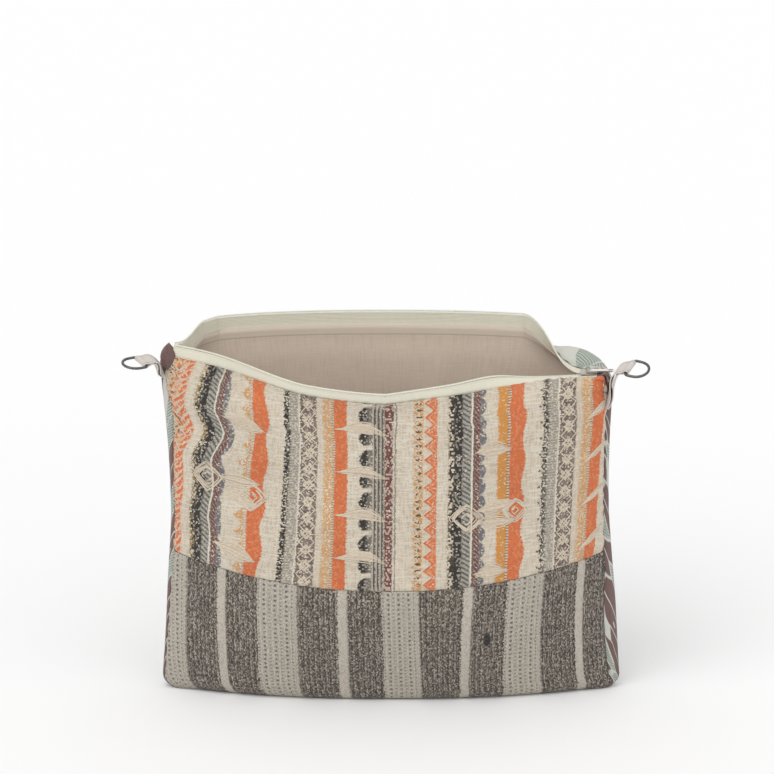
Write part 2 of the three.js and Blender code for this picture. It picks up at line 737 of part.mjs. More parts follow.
// The tab's two layers as one strip, flat on the bag's side at the seam and turning towards the bar, and
// its loop round the bar
function tabCloth(tab) {
  const root = rootOf(tab);
  const bar = barOf(tab);
  const reach = unit(tab.reach);
  const across = unit(tab.across.clone().addScaledVector(reach, -tab.across.dot(reach)));
  const inner = WIRE_RADIUS + RING_CLEARANCE;
  const outer = inner + TAB_LAYER;
  const loop = new THREE.Shape().absarc(0, 0, outer, -0.8 * Math.PI, 0.8 * Math.PI);
  loop.lineTo(-TAB_TAIL, TAB_LAYER).lineTo(-TAB_TAIL, -TAB_LAYER).closePath();
  loop.holes.push(new THREE.Path().absarc(0, 0, inner, 0, 2 * Math.PI));
  const normal = across.clone().cross(reach);
  const sleeve = extruded(loop, TAB_WIDTH, 16)
    .translate(0, 0, -TAB_WIDTH / 2)
    .applyMatrix4(frame(bar, reach, normal, across));

  const seated = new THREE.Vector3(-tab.seam * Math.sin(TAB_TURN), -Math.cos(TAB_TURN), 0);
  const outwards = new THREE.Vector3(tab.seam * Math.cos(TAB_TURN), -Math.sin(TAB_TURN), 0);
  const start = root.addScaledVector(outwards, TAB_SEAT);
  const end = bar.clone().addScaledVector(reach, 1 - TAB_TAIL);
  const span = start.distanceTo(end);
  const path = new THREE.CubicBezierCurve3(
    start,
    start.clone().addScaledVector(unit(tab.bar), span * 0.35),
    end.clone().addScaledVector(reach, -span * 0.35),
    end,
  );
  const column = (share, lift) => {
    const point = path.getPoint(share);
    const ahead = path.getTangent(share);
    const wide = seated.clone().lerp(across, smooth(0, 0.85, share));
    wide.addScaledVector(ahead, -wide.dot(ahead)).normalize();
    const up = wide.clone().cross(ahead);
    return [-1, -0.5, 0, 0.5, 1].map((side) =>
      point
        .clone()
        .addScaledVector(wide, (side * TAB_WIDTH) / 2)
        .addScaledVector(up, lift),
    );
  };
  const layer = (lift) => steps(0, 1, 12).map((share) => column(share, lift));
  const strip = slab(layer(STRIP_HALF), layer(-STRIP_HALF));
  return joined(strip, sleeve);
}

// A D of round wire: a straight bar through the tab's loop and a bow that hangs from it
function ring(tab) {
  const hang = unit(tab.hang);
  const across = unit(tab.across.clone().addScaledVector(hang, -tab.across.dot(hang)));
  const half = TAB_WIDTH / 2 + RING_SLACK + WIRE_RADIUS;
  const outline = new THREE.Shape()
    .moveTo(0, RING_CORNER - half)
    .lineTo(0, half - RING_CORNER)
    .quadraticCurveTo(0, half, RING_CORNER, half)
    .lineTo(RING_ARM, half)
    .absarc(RING_ARM, 0, half, Math.PI / 2, -Math.PI / 2, true)
    .lineTo(RING_CORNER, -half)
    .quadraticCurveTo(0, -half, 0, RING_CORNER - half);
  const flat = outline.getSpacedPoints(56).slice(0, -1);
  const normal = hang.clone().cross(across);
  const centre = barOf(tab);
  const path = flat.map(({ x, y }) => centre.clone().addScaledVector(hang, x).addScaledVector(across, y));
  const stations = path.map((point, i) => {
    const ahead = path[(i + 1) % path.length].clone().sub(path[(i + path.length - 1) % path.length]);
    return { point, right: ahead.normalize().cross(normal), up: normal };
  });
  return tube(stations, WIRE_RADIUS, 10, true);
}

add("front_upper_panel", frontUpperPanel(), FINISHES.upperCloth, frontHalf);
add("front_lower_panel", frontLowerPanel(), FINISHES.lowerCloth, frontHalf);
add("back_panel", backPanel(), FINISHES.backCloth, backHalf);
add("lining_front", liningPanel(FRONT), FINISHES.lining, frontHalf);
add("lining_back", liningPanel(BACK), FINISHES.lining, backHalf);
add("zip_tape_front", zipTape(FRONT), FINISHES.tape);
add("zip_tape_back", zipTape(BACK), FINISHES.tape);
add("zip_coil_front", zipCoil(FRONT), FINISHES.coil);
add("zip_coil_back", zipCoil(BACK), FINISHES.coil);
add("zip_slider", slider(), FINISHES.metal);
add("zip_pull", pull(), FINISHES.pull);
add("zip_end_tab_left", leftEndTab(), FINISHES.backCloth);
add("zip_end_tab_right", rightEndTab(), FINISHES.backCloth);
add("tab_left", tabCloth(TABS.left), FINISHES.webbing);
add("tab_right", tabCloth(TABS.right), FINISHES.webbing);
add("ring_left", ring(TABS.left), FINISHES.metal);
add("ring_right", ring(TABS.right), FINISHES.metal);

export default bag;
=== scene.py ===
# %% [markdown]
# # A lined cloth zip pouch, standing open
# The pouch is sewn from three cloths: a striped handwoven one on the upper front, a heathered one
# below it, and a printed one that makes the back and wraps round the sides. We rebuild each cloth
# as a surface worked out with numpy, in millimetres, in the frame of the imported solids.

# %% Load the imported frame
import bmesh
import bpy
import numpy as np
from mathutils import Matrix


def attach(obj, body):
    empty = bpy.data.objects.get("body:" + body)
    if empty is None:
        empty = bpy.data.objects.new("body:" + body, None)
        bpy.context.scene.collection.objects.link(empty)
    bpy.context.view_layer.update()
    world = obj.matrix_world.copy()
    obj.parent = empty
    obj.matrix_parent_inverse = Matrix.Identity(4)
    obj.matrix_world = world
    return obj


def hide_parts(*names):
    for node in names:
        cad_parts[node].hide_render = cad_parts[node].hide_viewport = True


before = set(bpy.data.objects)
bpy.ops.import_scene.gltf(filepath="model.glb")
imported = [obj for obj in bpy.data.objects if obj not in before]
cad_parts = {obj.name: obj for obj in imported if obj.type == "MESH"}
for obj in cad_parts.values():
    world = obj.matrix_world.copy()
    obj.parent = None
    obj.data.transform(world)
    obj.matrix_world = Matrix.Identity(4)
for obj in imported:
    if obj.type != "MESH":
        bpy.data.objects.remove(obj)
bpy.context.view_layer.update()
MM = 0.001
print("solids in the frame:", len(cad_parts))

# %% [markdown]
# ## Camera
# The photograph looks at the front from a little above. A long lens far away gives the same
# flat perspective. The width of view at the bag fixes the focal length.

# %% Camera
VIEW_TILT = np.radians(20)
VIEW_DISTANCE = 14.0
VIEW_WIDTH = 0.6192
VIEW_AIM = np.array([-0.0036, 0.0, 0.2550])
SENSOR = 36.0

lens = bpy.data.cameras.new("camera")
lens.sensor_width = SENSOR
lens.lens = SENSOR * VIEW_DISTANCE / VIEW_WIDTH
camera = bpy.data.objects.new("camera", lens)
camera.location = VIEW_AIM + VIEW_DISTANCE * np.array([0, -np.cos(VIEW_TILT), np.sin(VIEW_TILT)])
camera.rotation_euler = (np.pi / 2 - VIEW_TILT, 0, 0)
bpy.context.scene.collection.objects.link(camera)
bpy.context.scene.camera = camera
print("focal length, mm:", round(lens.lens, 1))

# %% [markdown]
# ## Light and floor
# Product photographs like this one use a white sweep and large soft lamps. The world gives an even
# light from all sides, a broad key lamp shines from up on the left and a weaker one from the right.
# The camera sees the world as plain white, and so do mirrors such as the metal of the zip.

# %% Light
SKY_LEVEL = 0.78
scene = bpy.context.scene
scene.view_settings.view_transform = "Standard"
world = bpy.data.worlds.new("studio")
scene.world = world
world.use_nodes = True
sky = world.node_tree
backdrop = sky.nodes["Background"]
backdrop.inputs["Color"].default_value = (1, 1, 1, 1)
path = sky.nodes.new("ShaderNodeLightPath")
plain_white = path.outputs["Is Camera Ray"]
for ray in ("Is Glossy Ray", "Is Transmission Ray"):
    either = sky.nodes.new("ShaderNodeMath")
    either.operation = "MAXIMUM"
    sky.links.new(plain_white, either.inputs[0])
    sky.links.new(path.outputs[ray], either.inputs[1])
    plain_white = either.outputs[0]
level = sky.nodes.new("ShaderNodeMapRange")
level.inputs["To Min"].default_value = SKY_LEVEL
level.inputs["To Max"].default_value = 1.0
sky.links.new(plain_white, level.inputs["Value"])
sky.links.new(level.outputs["Result"], backdrop.inputs["Strength"])


def soft_sun(name, compass, height, strength, spread):
    """A broad distant lamp: compass turns it from the front to the right, height lifts it."""
    lamp = bpy.data.lights.new(name, "SUN")
    lamp.energy = strength
    lamp.angle = np.radians(spread)
    stand = bpy.data.objects.new(name, lamp)
    stand.rotation_euler = (np.radians(90 - height), 0, np.radians(compass))
    scene.collection.objects.link(stand)
    return stand


lamps = [
    soft_sun("key_lamp", -38, 50, 0.95, 50),
    soft_sun("fill_lamp", 45, 35, 0.3, 70),
]
print("lamps:", [lamp.name for lamp in lamps])


# %% [markdown]
# ## From arrays to meshes
# Every piece below is an array of points: rows and columns of a grid. One helper turns a grid into
# quads; a closed ring of columns makes a tube, and a pinched first and last row closes its ends.

# %% Mesh helpers
def quads_of(rows, columns, ring=False):
    """Corner numbers of the quads between neighbouring points of a grid."""
    corner = np.arange(rows * columns).reshape(rows, columns)
    if ring:
        corner = np.hstack([corner, corner[:, :1]])
    loop = [corner[:-1, :-1], corner[:-1, 1:], corner[1:, 1:], corner[1:, :-1]]
    return np.stack(loop, axis=-1).reshape(-1, 4)


def new_piece(name, points, quads, material, cloth=None, colour=None):
    """An object from points in millimetres and quads; cloth gives its UV map, in metres."""
    mesh = bpy.data.meshes.new(name)
    mesh.from_pydata((points.reshape(-1, 3) * MM).tolist(), [], quads.tolist())
    mesh.polygons.foreach_set("use_smooth", np.ones(len(mesh.polygons), bool))
    if cloth is not None:
        corners = np.empty(len(mesh.loops), np.int32)
        mesh.loops.foreach_get("vertex_index", corners)
        layer = mesh.uv_layers.new(name="cloth")
        layer.data.foreach_set("uv", (cloth.reshape(-1, 2)[corners] * MM).ravel())
    if colour is not None:
        dye = mesh.attributes.new("dye", "FLOAT_COLOR", "POINT")
        rgba = np.hstack([colour.reshape(-1, 3), np.ones((colour.size // 3, 1))])
        dye.data.foreach_set("color", rgba.ravel())
    mesh.materials.append(material)
    mesh.validate()
    piece = bpy.data.objects.new(name, mesh)
    scene.collection.objects.link(piece)
    return piece


def several(grids, ring=False):
    """Points and quads of many grids of the same size, as one list of each."""
    count, rows, columns = grids.shape[:3]
    quads = quads_of(rows, columns, ring)
    shift = np.arange(count)[:, None, None] * rows * columns
    return grids.reshape(-1, 3), (quads[None] + shift).reshape(-1, 4)


def thicken(piece, thickness, offset=-1.0):
    """A Solidify modifier: the surface gets a second side, inwards at offset -1."""
    wall = piece.modifiers.new("thickness", "SOLIDIFY")
    wall.thickness = thickness * MM
    wall.offset = offset
    return piece


def ease(low, high, x):
    """A smooth step from 0 at low to 1 at high."""
    t = np.clip((x - low) / (high - low), 0, 1)
    return t * t * (3 - 2 * t)


def mix(a, b, share):
    """The point a share of the way from a to b."""
    return a + (b - a) * share


def cubic(start, a, b, end, t):
    """A cubic curve from start to end that leaves towards a and arrives from b."""
    return (1 - t) ** 3 * start + 3 * (1 - t) ** 2 * t * a + 3 * (1 - t) * t**2 * b + t**3 * end


def walked(line):
    """The length along a line of points up to each of them."""
    return np.concatenate([[0], np.cumsum(np.linalg.norm(np.diff(line, axis=0), axis=1))])


def unit(v):
    """Vectors of length one."""
    return v / np.maximum(np.linalg.norm(v, axis=-1, keepdims=True), 1e-9)


LATTICE = 61


def noise(x, y, seed):
    """Smooth random waves from -1 to 1: random heights on a square lattice, eased between."""
    table = np.random.default_rng(seed).uniform(-1, 1, (LATTICE, LATTICE))
    i, j = np.floor(x).astype(int), np.floor(y).astype(int)
    a, b = ease(0, 1, x - i), ease(0, 1, y - j)
    i, j, right, above = (place % LATTICE for place in (i, j, i + 1, j + 1))
    return mix(mix(table[i, j], table[right, j], a), mix(table[i, above], table[right, above], a), b)


# %% [markdown]
# ## The bag's outline
# The stuffed bag is widest at its base, drawn in at the waist, and its horizontal section is a
# flattened round: a full curve in front, a boxier one behind that turns past the widest line to the
# side seams. These are the same formulas as the solids', so the cloth lies where they are.

# %% Outline of the bag
BASE_HALF, WAIST_HALF, TOP_HALF = 185.0, 175.0, 180.0
WAIST_Z, FLARE, CORNER_ROUND, LEAN = 150.0, 1.2, 12.0, -4.0
FRONT_TOP, BACK_TOP = 262.0, 290.0
FRONT_DEPTH, BACK_DEPTH = (36.0, 62.0, 63.5), (28.0, 54.0, 58.0)
BELLY_Z = 105.0
WRAP, BOXINESS, FULLNESS = np.radians(102.0), 0.85, 2.4
SEAM_X = np.sin(WRAP) ** BOXINESS
SEAM_Y = (-np.cos(WRAP)) ** BOXINESS
FRONT, BACK = -1, 1


def power(x, n):
    """The n-th power that keeps the sign."""
    return np.sign(x) * np.abs(x) ** n


def half_width(z, inset=0.0):
    """Half width at a height: curves below and above the waist, a quarter round at the base."""
    low = np.maximum(0, (WAIST_Z - z) / WAIST_Z)
    high = np.maximum(0, (z - WAIST_Z) / (FRONT_TOP - WAIST_Z))
    bend = CORNER_ROUND - inset
    corner = np.clip(1 - (z - inset) / bend, 0, 1)
    sides = WAIST_HALF + (BASE_HALF - WAIST_HALF) * low**FLARE + (TOP_HALF - WAIST_HALF) * high**2
    return sides - inset - bend * (1 - np.sqrt(1 - corner**2))


def depth(profile, z):
    """Depth of a side's middle: a quarter sine from the base to the belly, then eased to the mouth."""
    base, belly, mouth = profile
    swell = np.sin(np.pi / 2 * np.clip(z / BELLY_Z, 0, 1))
    return base + (belly - base) * swell + (mouth - belly) * ease(BELLY_Z, FRONT_TOP, z)


def points_of(x, y, z):
    """Three arrays as one array of points."""
    return np.stack(np.broadcast_arrays(x, y, z), axis=-1)


def section(side, s, z, inset=0.0):
    """A point of the horizontal section; s runs from -1 at the left side seam to 1 at the right."""
    width = half_width(z, inset)
    back = depth(BACK_DEPTH, z) - inset
    lean = LEAN * z / FRONT_TOP
    if side == BACK:
        turn = s * WRAP
        across = width * power(np.sin(turn), BOXINESS)
        return points_of(across + lean, back * power(np.cos(turn), BOXINESS), z)
    seam = -back * SEAM_Y
    bulge = 1 - np.abs(s) ** FULLNESS
    front = depth(FRONT_DEPTH, z) - inset
    return points_of(width * SEAM_X * s + lean, seam - (front + seam) * bulge, z)


print("width at the waist, mm:", 2 * half_width(WAIST_Z))

# %% [markdown]
# ## The mouth
# The zip is open, so the front edge bows forward and the back edge rises behind it. On the left the
# two tapes stand against each other; on the right, where the slider is parked, they lie flat. Between
# them the front tape leans out a little.

# %% Edge of the mouth
LEFT_RISE, LEFT_SWEEP, RIGHT_RISE, RIGHT_REACH, CORNER_DROOP = 27.0, 1.45, 8.0, 0.5, 8.0
SHOULDER, SHUT_SHOULDER = 34.0, 13.0
ZIP_Y, ZIP_ENDS, CORNER_START = -6.0, (-0.955, 0.95), 0.979
UPRIGHT_OFFSET, EDGE_TO_ZIP, TAPE_LEAN = 4.8, 11.25, 0.77
# where the mouth starts to close and where it is shut, and where its tape starts to turn and has
# turned, each at the left end and at the right end
SHUT = {FRONT: ((0.35, 0.26), (0.935, 0.95)), BACK: ((0.59, 0.33), (0.91, 0.90))}
LEVEL = {FRONT: ((0.35, 0.0), (0.845, 0.83)), BACK: ((0.59, 0.33), (0.87, 0.81))}
BACK_STRAIGHT = (0.74, 0.61)
EDGE_STEP, SHOULDER_PULL = 0.002, 0.4


def by_end(s, pair):
    """The first value of a pair left of the middle, the second one right of it."""
    return np.where(s < 0, *pair)


def closing(table, side, s):
    """How far an end of the mouth has closed at s, or its tape has turned, from one of the two tables."""
    starts, stops = (by_end(s, pair) for pair in table[side])
    return ease(starts, stops, np.abs(s))


def edge_share(side, s):
    """Where a column of cloth meets the mouth, as a share of the way from the middle to the seam."""
    if side == FRONT:
        return s
    reach = np.abs(s)
    start = by_end(s, BACK_STRAIGHT)
    straight = np.arcsin(start ** (1 / BOXINESS)) / WRAP
    inner = np.sin(np.minimum(reach * WRAP, np.pi / 2)) ** BOXINESS / SEAM_X
    outer = mix(start / SEAM_X, 1, (reach - straight) / (1 - straight))
    return np.sign(s) * np.where(reach < straight, inner, outer)


def edge_point(side, s):
    """The mouth's edge, how level the tape lies there, and how far it has run into the corner."""
    shut, flat = closing(SHUT, side, s), closing(LEVEL, side, s)
    share = edge_share(side, s)
    corner = ease(CORNER_START, 1, np.abs(share))
    rise = by_end(share, (
        LEFT_RISE * np.abs(share) ** LEFT_SWEEP,
        RIGHT_RISE * np.sin(np.pi / 2 * np.clip(share / RIGHT_REACH, 0, 1)),
    ))
    low = FRONT_TOP + rise - CORNER_DROOP * ease(CORNER_START, 1.01, np.abs(share))
    z = low if side == FRONT else mix(BACK_TOP, low, flat)
    seam_y = section(FRONT, np.ones_like(s), z)[..., 1]
    x = half_width(z) * SEAM_X * share + LEAN * z / FRONT_TOP
    middle = by_end(s, (seam_y, mix(ZIP_Y, seam_y, corner)))
    aside = by_end(s, (UPRIGHT_OFFSET, EDGE_TO_ZIP)) * (1 - corner)
    y = mix(section(side, s, z)[..., 1], middle + side * aside, shut)
    return points_of(x, y, z), flat, corner


def mouth(side, s):
    """The edge with the way on along the tape and the way into the bag, square to the edge."""
    point, flat, corner = edge_point(side, s)
    run = unit(edge_point(side, s + EDGE_STEP)[0] - edge_point(side, s - EDGE_STEP)[0])
    level = mix(-TAPE_LEAN if side == FRONT else 0.0, by_end(s, (0.0, 1.0)), flat)
    along = points_of(0, -side * level, 1 - level)
    along = unit(along - np.sum(along * run, -1, keepdims=True) * run)
    ends = np.where(s < 0, -1.0, 1.0)
    seamwards = section(FRONT, ends, point[..., 2], 1.0) - section(FRONT, ends, point[..., 2])
    into = unit(mix(side * np.cross(run, along), seamwards, corner[..., None]))
    return point, along, into, flat


def shoulder_height(side, s):
    """Height at which the wall turns over into the shoulder."""
    point, _, _, flat = mouth(side, s)
    return point[..., 2] - mix(SHOULDER, SHUT_SHOULDER, flat)


def shoulder(side, s, share, inset=0.0):
    """A cubic curve from the wall's top to the mouth's edge, leaving and arriving along each."""
    point, along, into, _ = mouth(side, s)
    z = shoulder_height(side, s)
    start = section(side, s, z, inset)
    end = point + into * inset
    span = np.linalg.norm(end - start, axis=-1, keepdims=True)
    rise = unit(start - section(side, s, z - 1, inset))
    pull = span * SHOULDER_PULL
    return cubic(start, start + rise * pull, end - along * pull, end, share[..., None])


print("front edge at the middle, mm:", edge_point(FRONT, np.zeros(1))[0].round(1).tolist())

# %% [markdown]
# ## Cloth as a grid
# Cloth does not stretch much, so each panel carries the two lengths that its weaver would measure:
# u across the cloth from its middle, v up it from the seam. They go into the UV map, and every stripe
# and stitch is drawn from them. Columns are respaced evenly, so that v is proportional to the row.

# %% Cloth grids
COLUMNS = 301
S = np.linspace(-1, 1, COLUMNS)
PIECING_Z, PIECING_RISE, MEASURE_Z = 103.0, 17.0, 190.0
piecing = PIECING_Z + PIECING_RISE * S**2


def even_rows(points, rows):
    """Respaces each column's points evenly along its length; also gives the lengths."""
    step = np.linalg.norm(np.diff(points, axis=0), axis=-1)
    along = np.vstack([np.zeros(step.shape[1]), np.cumsum(step, axis=0)])
    want = np.linspace(0, 1, rows)[:, None] * along[-1]
    below = np.sum(along[None] <= want[:, None], axis=1) - 1
    below = np.clip(below, 0, len(points) - 2)
    column = np.arange(points.shape[1])
    gap = np.maximum(along[below + 1, column] - along[below, column], 1e-9)
    share = ((want - along[below, column]) / gap)[..., None]
    return mix(points[below, column], points[below + 1, column], share), along[-1]


def normals_of(points, side):
    """The way out of the bag: the cross product of the grid's two directions."""
    across, up = np.gradient(points, axis=1), np.gradient(points, axis=0)
    return unit(np.cross(across, up)) * -side


def across_cloth(side):
    """Length across the cloth from its middle to each column, measured at one height."""
    walk = walked(section(side, S, np.full_like(S, MEASURE_Z)))
    return walk - np.interp(0, S, walk)


# the sewn bag is a little twisted, so the front cloths stop short of the side line, or run past it,
# by a share of their half width that changes with the height
SHIFT_Z = [0, 14, 30, 60, 80, 110, 150, 180, 215, 240, 262]
SHIFT_LEFT = [0, -0.02, -0.025, -0.02, -0.018, -0.006, 0, 0, 0.01, 0.02, 0]
SHIFT_RIGHT = [0, 0.03, 0.032, 0.028, 0.02, 0, -0.018, -0.02, -0.02, -0.02, 0]
BACK_PER_FRONT = 1.8


def seam_shift(s, z):
    """Share by which the front cloths stop short of the side line at a height."""
    return by_end(s, (np.interp(z, SHIFT_Z, SHIFT_LEFT), np.interp(z, SHIFT_Z, SHIFT_RIGHT)))


def skin(side, s, z):
    """The section of one side, carried on round the other side past the side line."""
    past = np.maximum(np.abs(s) - 1, 0)
    ratio = BACK_PER_FRONT if side == FRONT else 1 / BACK_PER_FRONT
    here = section(side, np.clip(s, -1, 1), z)
    round_the_side = section(-side, np.sign(s) * (1 - past * ratio), z)
    return np.where((past > 0)[..., None], round_the_side, here)


def wall(side, low, high, rows):
    """Rows of the upright part between two heights."""
    z = mix(low, high, np.linspace(0, 1, rows)[:, None])
    shift = seam_shift(S[None], z)
    scale = 1 - shift if side == FRONT else 1 + shift * BACK_PER_FRONT
    return skin(side, S[None] * scale, z)


def rolled_edge(points, out, radius, tuck):
    """Rows that carry a cloth's top edge over a half circle and down behind itself."""
    up = unit(points[-1] - points[-2])
    turn = np.linspace(0, np.pi, 7)[1:, None, None]
    roll = points[-1] - out[-1] * radius * (1 - np.cos(turn)) + up * radius * np.sin(turn)
    back = roll[-1] - up * np.array(tuck)[:, None, None]
    return np.concatenate([points, roll, back])


def rolled_uv(u, v, rows):
    """The u and v of a cloth, carried on over the rows of its rolled edge."""
    extra = rows - len(u)
    over = v[-1] + np.linspace(0.4, 6.0, extra)[:, None]
    return np.stack([np.vstack([u, u[-1:].repeat(extra, 0)]), np.vstack([v, over])], -1)


cloth_u = across_cloth(FRONT)
print("front cloth, from seam to seam, mm:", round(cloth_u[-1] - cloth_u[0], 1))

# %% [markdown]
# ## The upper front cloth
# This handwoven cloth hangs from the zip and is gathered a little by its stitches, so short puckers
# run down from the mouth, and softer folds cross the panel where the two sides were pulled in.
# We lay it on the outline, work out the folds as one height for each point, and push along the normal.

# %% Upper front cloth: where the weave lies
UPPER_ROWS = 139
low_wall = wall(FRONT, piecing, shoulder_height(FRONT, S), 80)
turn_over = shoulder(FRONT, S[None] + np.zeros((40, 1)), np.linspace(0, 1, 41)[1:, None])
upper_base, upper_length = even_rows(np.concatenate([low_wall, turn_over]), UPPER_ROWS)
upper_share = np.linspace(0, 1, UPPER_ROWS)[:, None]
upper_u = cloth_u[None] + 0 * upper_share
upper_v = (piecing - PIECING_Z)[None] + upper_length[None] * upper_share

# how far each stripe leans to the left from the mouth down to the seam, at points across the cloth
LEAN_AT = [-180, -150, -108, -86, -48, -10, 60, 120, 150, 180]
LEAN_BY = [13, 16, 14, 12, 6, 4, 3, 3, 6, 11]
UPPER_HEIGHT = 170.0
# waves of the stripes near the left seam: height on the cloth, sideways shift, and reach, all in mm
WAVES = [(186, 7.5, 14), (146, -3.6, 11), (125, 2.8, 8), (104, -2.5, 8), (92, -4.0, 18), (52, -4.5, 20)]


def stripe_shift(u, v):
    """How far the woven stripes stand off their straight places: a lean, and waves at the left."""
    lean = np.interp(u, LEAN_AT, LEAN_BY) * (v / UPPER_HEIGHT - 0.5)
    waves = sum(by * np.exp(-(((v - at) / reach) ** 2)) for at, by, reach in WAVES)
    return lean + waves * (1 - ease(-140, -100, u))


weave_u = upper_u - stripe_shift(upper_u, upper_v)
print("upper cloth height, mm:", upper_length.min().round(1), "to", upper_length.max().round(1))

# %% Upper front cloth: folds, puckers and seams
to_top = upper_length[None] * (1 - upper_share)
to_seam = upper_length[None] * upper_share
to_side = (1 - np.abs(S))[None] * cloth_u[-1] + 0 * upper_share


def puckers(u, away, period, reach, seed):
    """Short ripples across a line of stitches, fading with the distance from it."""
    jitter = 1.6 * noise(u / 23, away / 60, seed)
    size = 0.55 + 0.45 * noise(u / 31, 0 * u + 3.5, seed + 1)
    return size * np.exp(-away / reach) * np.sin(2 * np.pi * u / period + jitter)


upper_folds = (
    2.0 * noise(upper_u / 60, upper_v / 120, 3)
    + 1.0 * noise(upper_u / 24 + upper_v / 150, upper_v / 60, 4)
    + 1.9 * np.exp(-(((upper_u + 140) / 40) ** 2)) * np.sin(2 * np.pi * (upper_v - 140) / 45)
)
upper_relief = (
    upper_folds * ease(0, 26, to_top) * ease(0, 20, to_seam) * ease(0, 22, to_side)
    + 0.75 * puckers(upper_u, to_top, 9.0, 11.0, 11)
    + 0.5 * puckers(upper_u, to_seam, 11.0, 9.0, 13)
    + 0.8 * puckers(upper_v, to_side, 12.0, 9.0, 15)
    - 1.3 * np.exp(-to_seam / 1.8)
    - 1.3 * np.exp(-to_side / 2.5)
)
upper_out = normals_of(upper_base, FRONT)
upper_cloth_points = upper_base + upper_out * upper_relief[..., None]
print("folds of the upper cloth, mm:", upper_relief.min().round(2), upper_relief.max().round(2))

# %% [markdown]
# ## Painting with numbers
# The stripes are drawn by the shader from u and v. Written by hand, each formula would be a long list
# of Math nodes. The small class below makes one node for each plus, minus or times sign, so that a
# pattern can be written as arithmetic and still be a plain node tree in Blender.

# %% A number that changes over a surface
class Field:
    """A socket that holds a number; arithmetic on it adds Math nodes to its tree."""

    def __init__(self, tree, socket):
        self.tree, self.socket = tree, socket

    def math(self, operation, *others, first=None):
        """One Math node: first, if given, goes before this number."""
        node = self.tree.nodes.new("ShaderNodeMath")
        node.operation = operation
        values = ([self] if first is None else [first, self]) + list(others)
        for value, slot in zip(values, node.inputs):
            if isinstance(value, Field):
                self.tree.links.new(value.socket, slot)
            else:
                slot.default_value = value
        return Field(self.tree, node.outputs[0])

    def __add__(self, other):
        return self.math("ADD", other)

    def __sub__(self, other):
        return self.math("SUBTRACT", other)

    def __rsub__(self, other):
        return self.math("SUBTRACT", first=other)

    def __mul__(self, other):
        return self.math("MULTIPLY", other)

    def __truediv__(self, other):
        return self.math("DIVIDE", other)

    def __mod__(self, other):
        return self.math("FLOORED_MODULO", other)

    def __abs__(self):
        return self.math("ABSOLUTE")

    __radd__, __rmul__ = __add__, __mul__

    def sin(self):
        return self.math("SINE")

    def over(self, edge, soft=0.35):
        """0 below an edge and 1 above it, with a soft step between."""
        return ((self - edge) / (2 * soft) + 0.5).math("MINIMUM", 1.0).math("MAXIMUM", 0.0)

    def between(self, low, high, soft=0.35):
        """1 between two edges and 0 outside them."""
        return self.over(low, soft) * (1 - self.over(high, soft))

    def saw(self, period):
        """Rises from 0 to 1 in each period."""
        return (self / period).math("FRACT")

    def tent(self, period):
        """Falls from 1 to 0 and rises back to 1 in each period."""
        return abs(self.saw(period) * 2 - 1)


def new_material(name, roughness, **sockets):
    """A material with a Principled shader; the plain values go straight on its sockets."""
    material = bpy.data.materials.new(name)
    material.use_nodes = True
    shader = material.node_tree.nodes["Principled BSDF"]
    shader.inputs["Roughness"].default_value = roughness
    for socket, value in sockets.items():
        shader.inputs[socket.replace("_", " ")].default_value = value
    return material, material.node_tree, shader


def cloth_coordinates(tree):
    """u and v of the piece's own UV map, in millimetres."""
    uv = tree.nodes.new("ShaderNodeUVMap")
    uv.uv_map = "cloth"
    split = tree.nodes.new("ShaderNodeSeparateXYZ")
    tree.links.new(uv.outputs["UV"], split.inputs[0])
    return Field(tree, split.outputs["X"]) * 1000, Field(tree, split.outputs["Y"]) * 1000


def joined(tree, x, y):
    """A vector socket made of two numbers."""
    vector = tree.nodes.new("ShaderNodeCombineXYZ")
    tree.links.new(x.socket, vector.inputs[0])
    tree.links.new(y.socket, vector.inputs[1])
    return vector.outputs[0]


def grain(tree, x, y, detail=2.0):
    """Noise from 0 to 1 over two numbers."""
    cloud = tree.nodes.new("ShaderNodeTexNoise")
    cloud.inputs["Scale"].default_value = 1.0
    cloud.inputs["Detail"].default_value = detail
    tree.links.new(joined(tree, x, y), cloud.inputs["Vector"])
    return Field(tree, cloud.outputs["Fac"])


class Dye:
    """A colour that is built up by laying others over it, each through a mask."""

    def __init__(self, tree, colour):
        self.tree, self.colour = tree, colour

    def put(self, socket, colour):
        if isinstance(colour, tuple):
            socket.default_value = (*colour, 1)
        else:
            self.tree.links.new(colour, socket)

    def lay(self, colour, mask, mode="MIX"):
        """Mixes a colour in where the mask is 1."""
        blend = self.tree.nodes.new("ShaderNodeMix")
        blend.data_type = "RGBA"
        blend.blend_type = mode
        self.tree.links.new(mask.socket, blend.inputs[0])
        self.put(blend.inputs[6], self.colour)
        self.put(blend.inputs[7], colour)
        return Dye(self.tree, blend.outputs[2])

    def onto(self, socket):
        self.put(socket, self.colour)


print("drawing tools:", Field.__name__, Dye.__name__)

# %% [markdown]
# ## Weave, as a node group
# All the cloths here are plain weaves: each yarn passes over one and under the next. The group below
# gives that as a height, sin(x) times sin(y) with some unevenness, and as a mask of the gaps between
# yarns, where each cloth paints shade into its colour. A second group draws a random number for each
# crossing: handspun yarns differ, and in a patterned weave some crossings show the ground, so this is
# what makes the colours look mottled.

# %% Making and placing groups
def new_group(name, *inputs):
    """A node group whose inputs are numbers; gives its tree and the inputs as fields."""
    tree = bpy.data.node_groups.new(name, "ShaderNodeTree")
    for socket in inputs:
        tree.interface.new_socket(socket, in_out="INPUT", socket_type="NodeSocketFloat")
    source = tree.nodes.new("NodeGroupInput")
    return tree, *(Field(tree, source.outputs[socket]) for socket in inputs)


def put_out(tree, **fields):
    """Gives a group one output for each named field."""
    for name in fields:
        tree.interface.new_socket(name, in_out="OUTPUT", socket_type="NodeSocketFloat")
    sink = tree.nodes.new("NodeGroupOutput")
    for name, field in fields.items():
        tree.links.new(field.socket, sink.inputs[name])
    return tree


